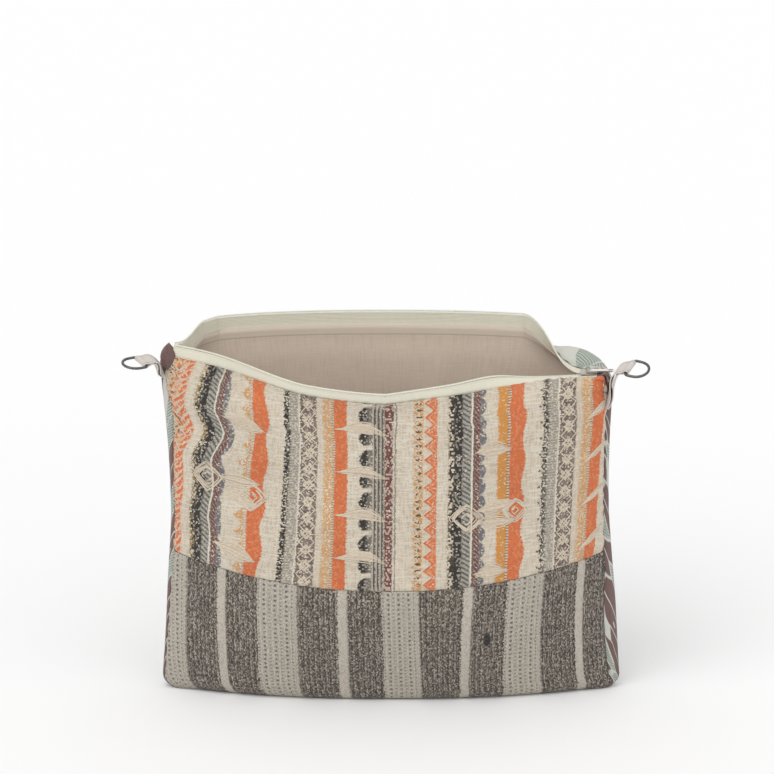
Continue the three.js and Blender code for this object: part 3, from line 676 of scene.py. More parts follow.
def placed(tree, group, u, v, **values):
    """Puts a group into a tree, with u, v and plain values; gives its outputs as fields."""
    node = tree.nodes.new("ShaderNodeGroup")
    node.node_tree = group
    tree.links.new(u.socket, node.inputs["U"])
    tree.links.new(v.socket, node.inputs["V"])
    for name, value in values.items():
        node.inputs[name].default_value = value
    return [Field(tree, socket) for socket in node.outputs]


# %% Weave group
def weave_group():
    """Inputs U, V and the pitches Across and Up in mm, and Slub, the unevenness; outputs 0 to 1."""
    tree, u, v, across, up, slub = new_group("plain_weave", "U", "V", "Across", "Up", "Slub")
    drift = grain(tree, u / 9.0, v / 5.0) * slub
    warp = ((u / across + drift) * np.pi).sin()
    weft = ((v / up + drift) * np.pi).sin()
    height = warp * weft * 0.5 + 0.5
    uneven = grain(tree, u / 0.9, v / 3.5) * grain(tree, u / 6.0, v / 0.9)
    height = height * 0.75 + uneven * 0.6
    # the gaps between yarns: the mask through which the cloths paint shade into their colour
    gap = 1 - (abs(warp) * abs(weft)).over(0.18, 0.18)
    return put_out(tree, Height=height, Gap=gap)


PLAIN_WEAVE = weave_group()


def woven(tree, u, v, across, up, slub=0.8):
    """Places the weave group; gives its Height and Gap."""
    return placed(tree, PLAIN_WEAVE, u, v, Across=across, Up=up, Slub=slub)


def bumped(tree, shader, height, distance, strength=1.0):
    """A Bump node from a height field to the shader's normal; distance in mm."""
    bump = tree.nodes.new("ShaderNodeBump")
    bump.inputs["Distance"].default_value = distance * MM
    bump.inputs["Strength"].default_value = strength
    tree.links.new(height.socket, bump.inputs["Height"])
    tree.links.new(bump.outputs["Normal"], shader.inputs["Normal"])


def lots_group():
    """Inputs U, V and the pitches Across and Up in mm; Lot is a random number for each crossing."""
    tree, u, v, across, up = new_group("yarn_lots", "U", "V", "Across", "Up")
    row = (v / up + grain(tree, u / 22.0, v / 40.0) * 2.0).math("FLOOR")
    column = (u / across + grain(tree, u / 40.0, v / 22.0) * 2.0 + row * 0.5).math("FLOOR")
    draw = tree.nodes.new("ShaderNodeTexWhiteNoise")
    draw.noise_dimensions = "2D"
    tree.links.new(joined(tree, column, row), draw.inputs["Vector"])
    return put_out(tree, Lot=Field(tree, draw.outputs["Value"]))


YARN_LOTS = lots_group()


def lots(tree, u, v, across, up):
    """Places the group of random crossings; gives its Lot."""
    return placed(tree, YARN_LOTS, u, v, Across=across, Up=up)[0]


print("weave inputs:", [item.name for item in PLAIN_WEAVE.interface.items_tree])

# %% [markdown]
# ## Dyeing the upper cloth
# The loom repeated six patterned stripes on a cream ground: triangles, a dark group with a pale line,
# orange with gold, grey with a chain, orange blocks, and black half moons. p is the place inside one
# repeat, in millimetres, roughened by a little noise because yarns never end in a straight line.

# %% Upper cloth: ground, triangles and the dark group
CREAM, OAT, STRAW = (0.71, 0.625, 0.505), (0.51, 0.435, 0.34), (0.70, 0.585, 0.39)
CHALKY = (0.78, 0.725, 0.62)
ORANGE, RUST, PEACH = (0.70, 0.185, 0.065), (0.56, 0.125, 0.05), (0.76, 0.33, 0.16)
GOLD, AMBER = (0.66, 0.36, 0.15), (0.66, 0.295, 0.07)
OLIVE, BLACK = (0.13, 0.10, 0.055), (0.032, 0.028, 0.024)
GREY, PALE_GREY, SLATE = (0.20, 0.18, 0.15), (0.50, 0.47, 0.40), (0.17, 0.165, 0.18)
BURGUNDY, MAUVE_GREY, TAUPE = (0.175, 0.065, 0.058), (0.16, 0.12, 0.105), (0.33, 0.30, 0.25)
UPPER_REPEAT, UPPER_START = 207.0, -188.2
TRIANGLE, SCALLOP, LONG_SCALLOP, CHAIN, MOON = 11.9, 13.6, 36.0, 13.8, 18.25

upper_material, tree, shader = new_material("upper_cloth", 0.92, Sheen_Weight=0.12)
u, v = cloth_coordinates(tree)
lot, coarse = lots(tree, u, v, 1.15, 1.05), lots(tree, u + 310, v + 70, 1.5, 1.7)
speck = grain(tree, u / 0.75, v / 0.75, 1.0)
ragged = (speck - 0.5) * 1.1 + (lot - 0.5) * 1.1 + (grain(tree, u / 40.0, v / 1.0) - 0.5) * 1.2
p = (u - UPPER_START + ragged) % UPPER_REPEAT
weave_height, weave_gap_shade = woven(tree, u, v, 1.15, 1.05)


def stripe(low, high, cover=1.0, soft=0.35):
    """A stripe between two places of the repeat, of which a share of the crossings is covered."""
    return p.between(low, high, soft) * lot.over(1 - cover, 0.03)


solid = u.over(0.0, 5.0)
dye = Dye(tree, CREAM)
dye = dye.lay(CHALKY, lot.over(0.7, 0.05) * 0.55).lay(OAT, (1 - lot.over(0.22, 0.05)) * 0.45)
dye = dye.lay(STRAW, grain(tree, u / 16.0, v / 1.4).between(0.56, 0.9, 0.06) * 0.5)
dye = dye.lay(OAT, grain(tree, u / 1.7, v / 11.0).over(0.54, 0.06) * 0.6)
dye = dye.lay(CHALKY, grain(tree, u / 11.0, v / 1.5).over(0.53, 0.06) * 0.75)

tooth, nib = v.tent(TRIANGLE), v.tent(TRIANGLE / 2)
dye = dye.lay(GOLD, stripe(0.2 + nib * 2.2, 8.6, 0.66))
dye = dye.lay(OLIVE, stripe(2.2, 7.4, 0.6) * nib.over(0.66, 0.1))
point = (p - tooth * 7.0).over(8.6, 0.4) * (1 - p.over(19.4))
dye = dye.lay(ORANGE, point * lot.over(0.10, 0.03)).lay(PEACH, point * coarse.over(0.72, 0.05) * 0.6)
dye = dye.lay(CREAM, (p - tooth * 7.0).between(12.0, 12.7, 0.2) * (1 - p.over(19.2)) * 0.6)
by_seam = 1 - u.over(-166.0, 4.0)
herringbone = (v - abs(p - 9.0) * 0.9 + grain(tree, u / 6.0, v / 6.0) * 9.0).saw(6.4)
dye = dye.lay(ORANGE, by_seam * p.between(5.0, 19.5, 1.0) * lot.over(0.2, 0.04) * 0.8)
dye = dye.lay(CREAM, by_seam * p.between(0, 19.5) * herringbone.between(0.0, 0.34, 0.08) * 0.85)
dye = dye.lay((0.80, 0.50, 0.24), by_seam * p.between(1, 15) * coarse.over(0.78, 0.04) * 0.9)
dye = dye.lay(OLIVE, by_seam * p.between(0, 10) * (1 - coarse.over(0.12, 0.03)) * 0.8)

dye = dye.lay(BLACK, p.between(28.4, 33.6, 0.8) * coarse.over(0.42, 0.05))
dye = dye.lay((0.42, 0.31, 0.14), p.between(27.6, 33.8, 0.8) * lot.over(0.66, 0.04) * (0.9 - solid * 0.6))
dye = dye.lay(BLACK, stripe(32.6, 39.4, 0.94, 0.6))
dye = dye.lay(PALE_GREY, p.between(33.0, 39.4) * coarse.over(0.80, 0.04) * 0.55)
feather = (v + p * 0.7).saw(4.1)
dye = dye.lay(GREY, stripe(39.2, 46.0, 0.95))
dye = dye.lay((0.40, 0.40, 0.36), stripe(39.6, 45.8, 0.9) * feather.between(0.0, 0.55, 0.12))
dye = dye.lay(BLACK, p.between(39.2, 45.9) * feather.between(0.60, 0.86, 0.1) * 0.55)
dye = dye.lay(CHALKY, p.between(46.0, 47.5, 0.25))
dye = dye.lay(BLACK, p.between(47.5, 48.6, 0.25) * 0.85)
dye = dye.lay(BURGUNDY, stripe(48.5, 53.2, 0.93))
dye = dye.lay(PALE_GREY, p.between(48.8, 53.0) * (v * 0.8 + p).saw(3.0).between(0, 0.3, 0.1) * 0.6)
arch = mix(v.saw(LONG_SCALLOP), v.saw(SCALLOP), solid) * 2 - 1
bulge = (1 - arch * arch).math("SQRT")
dye = dye.lay(SLATE, p.over(53.0) * (1 - (p - bulge * 4.8).over(53.0, 0.4)) * lot.over(0.12, 0.03))
dye = dye.lay(PALE_GREY, p.between(53.0, 57.0) * coarse.over(0.8, 0.04) * 0.5)
print("upper cloth nodes so far:", len(tree.nodes))

# %% Upper cloth: orange with gold, grey with the chain
blob = v.tent(15.0)
blobs = p.between(67.2 + (1 - blob) * 7.0 * (1 - solid), 74.8, 0.7) * lot.over(0.36 - solid * 0.3, 0.04)
dye = dye.lay(GOLD, blobs).lay(AMBER, blobs * solid)
dye = dye.lay(OLIVE, p.between(74.4, 76.9, 0.3) * v.saw(2.4).between(0.1, 0.55, 0.1) * (0.35 + solid * 0.45))
band = p.over(76.6) * (1 - (p + (v / 6.2).sin() * 1.7).over(88.2))
dye = dye.lay(ORANGE, band).lay(RUST, band * (1 - lot.over(0.2, 0.04)) * 0.7)
dye = dye.lay(PEACH, band * coarse.over(0.76, 0.04) * 0.5)

dye = dye.lay(BLACK, p.between(100.8, 102.4, 0.3) * v.tent(CHAIN).over(0.86, 0.06) * 0.9 * solid)
dye = dye.lay(GREY, stripe(103.4, 109.0, 0.78, 0.5))
dye = dye.lay(BLACK, p.between(103.0, 107.6, 0.6) * lot.over(0.5 + solid * 0.26, 0.04))
dye = dye.lay(TAUPE, stripe(108.4, 115.6, 0.72))
dye = dye.lay(PALE_GREY, p.between(107.6, 115.6) * v.saw(2.3).between(0.0, 0.48, 0.12) * 0.85)
dye = dye.lay(CHALKY, p.between(115.6, 116.8, 0.25) * 0.8)
lozenge = abs(p - 124.2) / 6.6 + v.tent(CHAIN)
dye = dye.lay(MAUVE_GREY, stripe(117.0, 131.0, 0.42) * coarse.over(0.3, 0.05))
dye = dye.lay(MAUVE_GREY, stripe(117.0, 131.0, 0.8) * lozenge.over(0.78, 0.06) * 0.8)
dye = dye.lay(CREAM, p.between(117.2, 131.2) * lozenge.between(0.36, 0.66, 0.06) * 0.9)
dye = dye.lay(BLACK, stripe(120.0, 128.4, 0.8) * (1 - lozenge.over(0.26, 0.05)) * 0.8)
print("upper cloth nodes so far:", len(tree.nodes))

# %% Upper cloth: orange blocks, half moons, and the surface
dye = dye.lay(GOLD, p.between(136.4, 143.6, 1.4) * lot.over(0.30, 0.04) * 0.95)
dye = dye.lay((0.70, 0.44, 0.22), p.between(136.4, 143.6, 1.2) * coarse.over(0.6, 0.04) * 0.6)
dye = dye.lay(OLIVE, p.between(143.2, 145.2, 0.3) * v.saw(2.1).between(0.1, 0.5, 0.1) * 0.7)
block = p.between(145.0, 155.3)
dye = dye.lay(ORANGE, block).lay(RUST, block * (1 - lot.over(0.22, 0.04)) * 0.7)
dye = dye.lay(PEACH, block * coarse.over(0.76, 0.04) * 0.5)
moon = (v + 4.2).saw(MOON) * 2 - 1
drop = 1 - abs(moon).over(0.78, 0.10)
crescent = (p - moon * moon * 6.0 - moon * 1.5).over(165.2, 0.6) * drop
dye = dye.lay(GREY, crescent * (1 - p.over(177.0, 1.2)) * lot.over(0.22, 0.04))
dye = dye.lay(BLACK, crescent * (1 - (p + lot * 3.0).over(173.6, 1.4)) * lot.over(0.06, 0.03))
dye = dye.lay(PALE_GREY, crescent * (1 - p.over(177.0)) * coarse.over(0.84, 0.04) * 0.6)
lines = p.saw(3.0)
dye = dye.lay((0.52, 0.47, 0.39), p.between(175.6, 185.2))
dye = dye.lay(BLACK, p.between(175.6, 185.4) * lines.between(0.25, 0.62, 0.1) * lot.over(0.25, 0.05) * 0.8)
dye = dye.lay(BURGUNDY, stripe(185.4, 191.8, 0.93))
dye = dye.lay(CREAM, p.between(185.6, 191.6) * coarse.over(0.74, 0.04) * 0.65)
dye = dye.lay(SLATE, p.between(193.2, 194.3, 0.2) * 0.8)
dye = dye.lay((0.66, 0.60, 0.54), lot.over(0.55, 0.4) * 0.28, "MULTIPLY")
# painted shade: the colour is darkened in the gaps between yarns
dye = dye.lay((0.42, 0.36, 0.30), weave_gap_shade * 0.24, "MULTIPLY")
dye = dye.lay((0.70, 0.66, 0.62), grain(tree, u / 45.0, v / 60.0).over(0.55, 0.12) * 0.25, "MULTIPLY")
dye.onto(shader.inputs["Base Color"])
bumped(tree, shader, weave_height + lot * 0.4, 0.5)
print("upper cloth nodes:", len(tree.nodes))

# %% Upper front cloth: the piece
BANDS = [(0, 18.8), (29.9, 57.8), (68.1, 88.7), (103, 131), (137, 155.3), (165.5, 192)]


def band_relief(place, bands, height, edge=0.9):
    """Patterned stripes stand a little higher than the ground between them."""
    lows, highs = np.array(bands).T
    place = place[..., None]
    inside = ease(lows - edge, lows + edge, place) - ease(highs - edge, highs + edge, place)
    return height * inside.sum(axis=-1)


upper_band = band_relief((weave_u - UPPER_START) % UPPER_REPEAT, BANDS, 0.35)
upper_points = upper_cloth_points + upper_out * (upper_band * ease(0, 4, to_top))[..., None]
CLOTH_THICK, EDGE_ROLL, EDGE_TUCK = 0.9, 0.75, (2.0, 4.0)
upper_shell = rolled_edge(upper_points, upper_out, EDGE_ROLL, EDGE_TUCK)
upper_uv = rolled_uv(weave_u, upper_v, len(upper_shell))
upper_quads = quads_of(len(upper_shell), COLUMNS)
upper_panel = new_piece("upper_front_cloth", upper_shell, upper_quads, upper_material, upper_uv)
thicken(upper_panel, CLOTH_THICK)
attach(upper_panel, "bag")
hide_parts("front_upper_panel")
print("upper cloth quads:", len(upper_panel.data.polygons))

# %% [markdown]
# ## Yarns that float on the cloth
# The weaver let thick cream yarns float over the stripes: long spikes, lozenges, zigzags and cords.
# They catch the light, so they are real forms here. A spike is a bundle of thin tubes over a flat pad;
# every path is given in the weave's own lengths, u and v, and looked up on the folded cloth.

# %% Looking up a place on the upper cloth
# half width and half thickness of a thread in a spike, of one in a lozenge, and of a zigzag
SPIKE_THREAD, NEST_THREAD, ZIGZAG_THREAD = (0.4, 0.42), (0.42, 0.45), (0.42, 0.42)


def between_rows(grid, row, column):
    """A grid's value at a row and column that need not be whole numbers."""
    i = np.clip(np.floor(row).astype(int), 0, grid.shape[0] - 2)
    j = np.clip(np.floor(column).astype(int), 0, grid.shape[1] - 2)
    a, b = (row - i)[..., None], (column - j)[..., None]
    return mix(mix(grid[i, j], grid[i + 1, j], a), mix(grid[i, j + 1], grid[i + 1, j + 1], a), b)


def on_upper_cloth(u, v, lift):
    """The point over the weave's place (u, v), lifted along the cloth's normal."""
    place = u
    for _ in range(6):
        place = u + stripe_shift(place, v)
    column = np.interp(place, cloth_u, np.arange(COLUMNS))
    start = np.interp(column, np.arange(COLUMNS), piecing - PIECING_Z)
    length = np.interp(column, np.arange(COLUMNS), upper_length)
    row = np.clip((v - start) / length, 0.004, 0.996) * (UPPER_ROWS - 1)
    out = unit(between_rows(upper_out, row, column))
    return between_rows(upper_points, row, column) + out * lift[..., None]


def swelling(t, peak):
    """A hump from 0 over 1 at the peak to 0, along a share t of the way."""
    return np.sin(np.pi * t ** (np.log(0.5) / np.log(peak))) ** 1.4


def pads(tips, tails, arch, half, thick, peak=0.45, stations=13, sides=10):
    """Closed flat lenses from tips to tails, both lists of (u, v), bowed up by arch."""
    t = np.linspace(0, 1, stations)[None, :, None]
    turn = np.linspace(0, 2 * np.pi, sides, endpoint=False)[None, None]
    tip, tail = np.array(tips)[:, :, None, None], np.array(tails)[:, :, None, None]
    swell = swelling(t, peak)
    u = mix(tip[:, 0], tail[:, 0], t) + 0 * turn
    v = mix(tip[:, 1], tail[:, 1], t) + arch * swell + half * swell * np.cos(turn)
    return on_upper_cloth(u, v, thick * swell**0.5 * np.sin(turn) + 0 * u)


def threads(tips, tails, arch, half, count, seed, peak=0.45, stations=13):
    """Bundles of threads that share a tip and a tail and fan out between, each by its own share."""
    rng = np.random.default_rng(seed)
    many = (len(tips), count, 1)
    share = np.linspace(-1, 1, count)[None, :, None] + rng.uniform(-0.3, 0.3, many)
    begin, end = rng.uniform(0, 0.28, many), 1 - rng.uniform(0, 0.28, many)
    t = mix(begin, end, np.linspace(0, 1, stations))
    tip, tail = np.array(tips)[:, :, None, None], np.array(tails)[:, :, None, None]
    swell = swelling(t, peak)
    u = mix(tip[:, 0], tail[:, 0], t)
    v = mix(tip[:, 1], tail[:, 1], t) + (arch + half * share) * swell
    return tubes(u.reshape(-1, stations), v.reshape(-1, stations), *SPIKE_THREAD, 5)


def tubes(u, v, wide, thick, sides=6):
    """Tubes along paths given as arrays of u and v, with an oval section, tapered to closed ends."""
    turn = np.linspace(0, 2 * np.pi, sides, endpoint=False)
    taper = np.minimum(1, np.minimum(np.arange(u.shape[1]), np.arange(u.shape[1])[::-1]) * 0.7)
    run = unit(np.stack([np.gradient(u, axis=1), np.gradient(v, axis=1)], -1))
    side = (taper[None] * wide)[..., None] * np.cos(turn)
    lift = (taper[None] * thick)[..., None] * np.sin(turn) + thick * 0.35 + 0 * u[..., None]
    across_u = u[..., None] - run[..., 1:] * side
    across_v = v[..., None] + run[..., :1] * side
    return on_upper_cloth(across_u, across_v, lift)


def nests(middles, reaches, count, spread, seed, stations=14):
    """Threads round the lozenges' middles, each along a part of a lozenge of its own size."""
    rng = np.random.default_rng(seed)
    many = (len(middles), count, 1)
    turn = rng.uniform(0, 2 * np.pi, many)
    turn = turn + np.linspace(-0.9, 0.9, stations) * rng.uniform(0.7, 1.3, many)
    size = rng.uniform(*spread, many)
    (u, v), (wide, tall) = (np.array(pairs).T[:, :, None, None] for pairs in (middles, reaches))
    u = u + wide * size * power(np.cos(turn), 1.7)
    v = v + tall * size * power(np.sin(turn), 1.7)
    return tubes(u.reshape(-1, stations), v.reshape(-1, stations), *NEST_THREAD)


def woven_at(repeat, p):
    """u of a place p in one of the two repeats of the pattern."""
    return UPPER_START + repeat * UPPER_REPEAT + p


def woven_spots(*spots):
    """u and v of places that are given as a repeat, p and v."""
    return [(woven_at(repeat, p), v) for repeat, p, v in spots]


middle = on_upper_cloth(np.zeros(1), np.full(1, 80.0), np.zeros(1))
print("middle of the cloth:", middle.round(1).tolist())

# %% Spikes, leaves and lozenges
SPIKE_STEP, SPIKE_START = 36.5, 29.5
spike_v = SPIKE_START + SPIKE_STEP * np.arange(4)
# each kind: tips, tails, bow, half width, number of threads, and where it is widest
FLOATS = [
    (woven_spots(*((0, 143.0, v) for v in spike_v)),
     woven_spots(*((0, 190.0, v - 7.0) for v in spike_v)), 4.4, 4.4, 13, 0.58),
    (woven_spots(*((1, 137.0, v - 7.0) for v in spike_v)),
     woven_spots(*((1, 161.0, v + 12.0) for v in spike_v)), -2.0, 2.8, 8, 0.62),
    (woven_spots((0, 49.0, 143.0), (0, 49.0, 33.0)), woven_spots((0, 87.0, 131.0), (0, 87.0, 20.0)),
     1.5, 6.0, 16, 0.55),
    (woven_spots((1, 48.0, 117.0), (1, 48.0, 13.0)), woven_spots((1, 79.0, 119.0), (1, 79.0, 15.0)),
     1.5, 6.0, 16, 0.5),
    (woven_spots((0, 50.0, 90.0), (0, 52.0, 80.0), (1, 49.0, 68.0), (1, 49.0, 58.0)),
     woven_spots((0, 86.0, 87.0), (0, 86.0, 68.0), (1, 84.0, 74.0), (1, 84.0, 58.0)),
     0.0, 5.0, 15, 0.5),
]
PAD_SHARE, PAD_THICK = 0.6, 0.25
float_pads = [
    pads(tips, tails, arch, half * PAD_SHARE, PAD_THICK, peak) for tips, tails, arch, half, _, peak in FLOATS
]
float_threads = [
    threads(tips, tails, arch, half, count, 61 + kind, peak)
    for kind, (tips, tails, arch, half, count, peak) in enumerate(FLOATS)
]
LOZENGES = woven_spots((0, 42.0, 88.0), (0, 79.0, 76.0), (1, 43.0, 62.0), (1, 82.0, 66.0))
REACHES = [(12.5, 12.0), (11.0, 11.0), (12.5, 12.0), (10.5, 10.0)]
outer_nests = nests(LOZENGES, REACHES, 30, (0.62, 1.1), 71)
inner_nests = nests(LOZENGES, REACHES, 8, (0.2, 0.45), 73)
print("threads in the floats:", sum(len(bundle) for bundle in float_threads))

# %% Zigzags, chains and cords
def up_the_cloth(u, count, clear=2.5):
    """Even heights v from just above the seam to just under the mouth, at a place across."""
    column = np.interp(u, cloth_u, np.arange(COLUMNS))
    low = np.interp(column, np.arange(COLUMNS), piecing - PIECING_Z) + clear
    high = low + np.interp(column, np.arange(COLUMNS), upper_length) - 2 * clear
    return np.linspace(low, high, count)[None]


def tent(v, period):
    """Falls from 1 to 0 and rises back to 1 in each period."""
    return np.abs(2 * (v / period % 1) - 1)


def climbing(repeat, p, swing, period, wide, thick, count=220, phase=0.0):
    """A tube that climbs the cloth at p, swinging to the right by a tent of the given period."""
    v = up_the_cloth(woven_at(repeat, p), count)
    return tubes(woven_at(repeat, p) + swing * tent(v + phase * period, period), v, wide, thick)


# place in the repeat, swing, period and phase
ZIGZAGS = [
    (8.4, 7.0, TRIANGLE, 0), (1.2, 4.6, TRIANGLE / 2, 0.5),
    (118.0, 6.4, CHAIN, 0.5), (130.4, -6.4, CHAIN, 0.5),
]
zigzags = np.concatenate([
    climbing(repeat, p, swing, period, *ZIGZAG_THREAD, phase=phase)
    for p, swing, period, phase in ZIGZAGS for repeat in (0, 1)
])
pale_cords = np.concatenate([climbing(repeat, 46.8, 0, 1, 0.6, 0.5, 90) for repeat in (0, 1)])
dark_cords = np.concatenate([climbing(0, p, 0, 1, 0.4, 0.35, 90) for p in (177.4, 180.4, 183.4)])

# the pads are dyed darker than the cream threads over them: painted shade between the threads
PAD_PAINTED_SHADE, CORD_DARK = (0.60, 0.515, 0.40), (0.09, 0.08, 0.07)
yarns = [(grids, PAD_PAINTED_SHADE) for grids in float_pads]
yarns += [(grids, CREAM) for grids in (*float_threads, outer_nests, inner_nests, zigzags)]
yarns += [(pale_cords, CHALKY), (dark_cords, CORD_DARK)]
print("yarn tubes:", sum(len(grids) for grids, _ in yarns))

# %% [markdown]
# The pads and tubes end in a pinched row that is welded shut. All of them share one spun-yarn material,
# which takes its colour from a point attribute and adds the fine twist of the fibres.

# %% Yarn material and piece
def weld(piece, closed=True):
    """Merges points that lie in the same place; a closed piece also has its faces turned outwards."""
    shape = bmesh.new()
    shape.from_mesh(piece.data)
    bmesh.ops.remove_doubles(shape, verts=shape.verts, dist=1e-6)
    if closed:
        bmesh.ops.recalc_face_normals(shape, faces=shape.faces)
    shape.to_mesh(piece.data)
    shape.free()
    return piece


def object_place(tree):
    """The place on the piece itself, in millimetres, as three fields."""
    where = tree.nodes.new("ShaderNodeTexCoord")
    split = tree.nodes.new("ShaderNodeSeparateXYZ")
    tree.links.new(where.outputs["Object"], split.inputs[0])
    return tuple(Field(tree, split.outputs[axis]) * 1000 for axis in "XYZ")


yarn_material, tree, shader = new_material("spun_yarn", 0.85, Sheen_Weight=0.15)
dyed = tree.nodes.new("ShaderNodeAttribute")
dyed.attribute_name = "dye"
x, _, z = object_place(tree)
fibre = grain(tree, x / 3.0, z / 0.5)
dye = Dye(tree, dyed.outputs["Color"])
dye = dye.lay((0.66, 0.58, 0.48), fibre.between(0.5, 0.9, 0.1) * 0.5, "MULTIPLY")
dye.onto(shader.inputs["Base Color"])
bumped(tree, shader, fibre, 0.4)

clouds, faces, dyes, count = [], [], [], 0
for grids, colour in yarns:
    cloud, quads = several(grids, ring=True)
    clouds.append(cloud)
    faces.append(quads + count)
    dyes.append(np.broadcast_to(colour, cloud.shape))
    count += len(cloud)
yarn_piece = new_piece("floating_yarns", np.concatenate(clouds), np.concatenate(faces), yarn_material,
                       colour=np.concatenate(dyes))
weld(yarn_piece)
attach(yarn_piece, "bag")
print("yarn faces:", len(yarn_piece.data.polygons))

# %% [markdown]
# ## The lower front cloth
# Below the seam the maker used a heavier striped cloth, dark and heathered with broad dotted and narrow
# plain cream stripes. It runs under the base to a seam on the floor, so the grid starts there, turns up
# round a small fold and rises to the piecing seam.

# %% Lower front cloth: the surface
BOTTOM_SEAM_Y, FOLD_RADIUS = 9.0, 7.0
LOWER_ROWS = 128


def base_rows(side, floor_rows=30, fold_rows=12):
    """Flat rows from the bottom seam to the fold, then a quarter round up to the wall."""
    ground = np.zeros_like(S)
    edge, end = section(side, S, ground), section(FRONT, np.ones_like(S), ground)
    seam_y = end[..., 1] + (BOTTOM_SEAM_Y - end[..., 1]) * (1 - S**4)
    seam = points_of(end[..., 0] * S, seam_y, ground)
    room = np.linalg.norm(seam - edge, axis=-1)
    radius = np.minimum(FOLD_RADIUS, room / 2)
    inwards = unit(seam - edge)
    flat = mix(seam, edge + inwards * radius[:, None], np.linspace(0, 1, floor_rows)[:, None, None])
    turn = np.linspace(0, np.pi / 2, fold_rows)[1:, None]
    z = radius * (1 - np.cos(turn))
    shift = seam_shift(S[None], z)
    scale = 1 - shift if side == FRONT else 1 + shift * BACK_PER_FRONT
    bend = skin(side, S[None] * scale, z) + inwards * (radius * (1 - np.sin(turn)))[..., None]
    return np.concatenate([flat, bend]), radius


front_base, fold_top = base_rows(FRONT)
front_wall = wall(FRONT, fold_top, piecing, 70)[1:]
lower_base, lower_length = even_rows(np.concatenate([front_base, front_wall]), LOWER_ROWS)
lower_share = np.linspace(0, 1, LOWER_ROWS)[:, None]
lower_u = cloth_u[None] + 0 * lower_share
lower_v = (piecing - PIECING_Z)[None] - lower_length[None] * (1 - lower_share)
down = lower_length[None] * (1 - lower_share)
along_side = (1 - np.abs(S))[None] * cloth_u[-1] + 0 * lower_share
standing = ease(0, 18, lower_base[..., 2])
lower_relief = standing * (
    (1.6 * noise(lower_u / 55, lower_v / 60, 21) + 0.8 * noise(lower_u / 22, lower_v / 40, 22))
    * ease(0, 18, down) * ease(0, 20, along_side)
    + 0.5 * puckers(lower_u, down, 11.0, 9.0, 13)
    + 0.6 * puckers(lower_v, along_side, 13.0, 8.0, 25)
    - 1.3 * np.exp(-down / 1.8) - 1.3 * np.exp(-along_side / 2.5)
)
print("lower cloth, mm down from the seam:", lower_length.min().round(1), lower_length.max().round(1))

# %% Lower front cloth: stripes
LOWER_REPEAT, LOWER_START = 100.2, -107.5
WIDE, NARROW = (0.0, 32.0), (65.5, 72.8)
# how far the stripes stand aside, and how far they lean to the right on their way down, across the cloth
ASIDE_AT = [-180, -165, -144, -105, -77, -41, -8, 24, 61, 91, 121, 150, 180]
ASIDE_BY = [13.5, 13.0, 7.4, 5.0, 5.2, 2.2, 1.7, -1.2, -1.8, -1.1, -1.2, -4.5, -6.0]
DOWN_LEAN_AT = [-180, -144, -90, -40, 24, 61, 121, 150, 180]
DOWN_LEAN_BY = [12, 11, 6, 2.5, 1, -6.5, -6.5, -4, -4]
LOWER_HEIGHT = 105.0
lower_aside = np.interp(cloth_u, ASIDE_AT, ASIDE_BY)
lower_lean = np.interp(cloth_u, DOWN_LEAN_AT, DOWN_LEAN_BY)
lower_weave_u = lower_u - lower_aside[None] - lower_lean[None] * (down / LOWER_HEIGHT - 0.5)
print("lower stripes stand aside, mm:", lower_aside.min().round(1), "to", lower_aside.max().round(1))

# %% Lower front cloth: dyes
HEATHER, ASH, LINT = (0.072, 0.06, 0.051), (0.24, 0.203, 0.168), (0.55, 0.50, 0.43)
UMBER, INK, PALE = (0.16, 0.115, 0.085), (0.022, 0.02, 0.019), (0.56, 0.515, 0.44)
KNOT_STEP, SLUB_AT, SLUB_HALF = (4.4, 3.7), (79.0, -45.5), (2.9, 6.4)
lower_material, tree, shader = new_material("lower_cloth", 0.93, Sheen_Weight=0.1)
u, v = cloth_coordinates(tree)
lot, coarse = lots(tree, u, v, 0.9, 1.2), lots(tree, u + 310, v + 70, 1.0, 2.4)
q = (u - LOWER_START + (lot - 0.5) * 1.2) % LOWER_REPEAT
weave_height, weave_gap_shade = woven(tree, u, v, 0.9, 1.2)
warp_line = u.saw(2.2).between(0.0, 0.45, 0.15)
dye = Dye(tree, HEATHER)
dye = dye.lay(UMBER, grain(tree, u / 30.0, v / 40.0).over(0.5, 0.12) * lot.over(0.3, 0.1) * 0.8)
dye = dye.lay(ASH, (lot + warp_line * 0.42).over(0.65, 0.08))
dye = dye.lay(PALE, (lot + warp_line * 0.10).over(0.9, 0.04) * 0.6)
dye = dye.lay(INK, coarse.over(0.82, 0.04) * 0.6)
# pale warp threads, and rows of dark knots between them that come and go over the cloth
file, rank = u.saw(KNOT_STEP[0]), v.saw(KNOT_STEP[1])
dye = dye.lay(PALE, file.between(0.2, 0.36, 0.06) * lot.over(0.3, 0.1) * 0.3)
knots = file.between(0.6, 0.98, 0.08) * rank.between(0.25, 0.7, 0.12) * lot.over(0.2, 0.1)
dye = dye.lay(INK, knots * (grain(tree, u / 22.0, v / 30.0).over(0.48, 0.1) * 0.5 + 0.25))
across, up = (u - SLUB_AT[0]) / SLUB_HALF[0], (v - SLUB_AT[1]) / SLUB_HALF[1]
slub = 1 - (across * across + up * up).over(1.0, 0.3)
dye = dye.lay(INK, slub * lot.over(0.2, 0.05))
wide, narrow = q.between(*WIDE, 0.5), q.between(*NARROW, 0.5)
dye = dye.lay(PALE, wide)
dye = dye.lay((0.40, 0.36, 0.30), wide * (q + 1.0).saw(2.33).between(0.0, 0.4, 0.15) * 0.75)
dye = dye.lay((0.36, 0.32, 0.27), wide * (1 - lot.over(0.24, 0.05)) * 0.6)
bold = (q - 1.4).saw(8.8).between(0.40, 0.60, 0.05) * v.saw(4.2).between(0.18, 0.66, 0.1)
faint = (q + 3.0).saw(8.8).between(0.42, 0.58, 0.05) * v.saw(3.3).between(0.2, 0.64, 0.1)
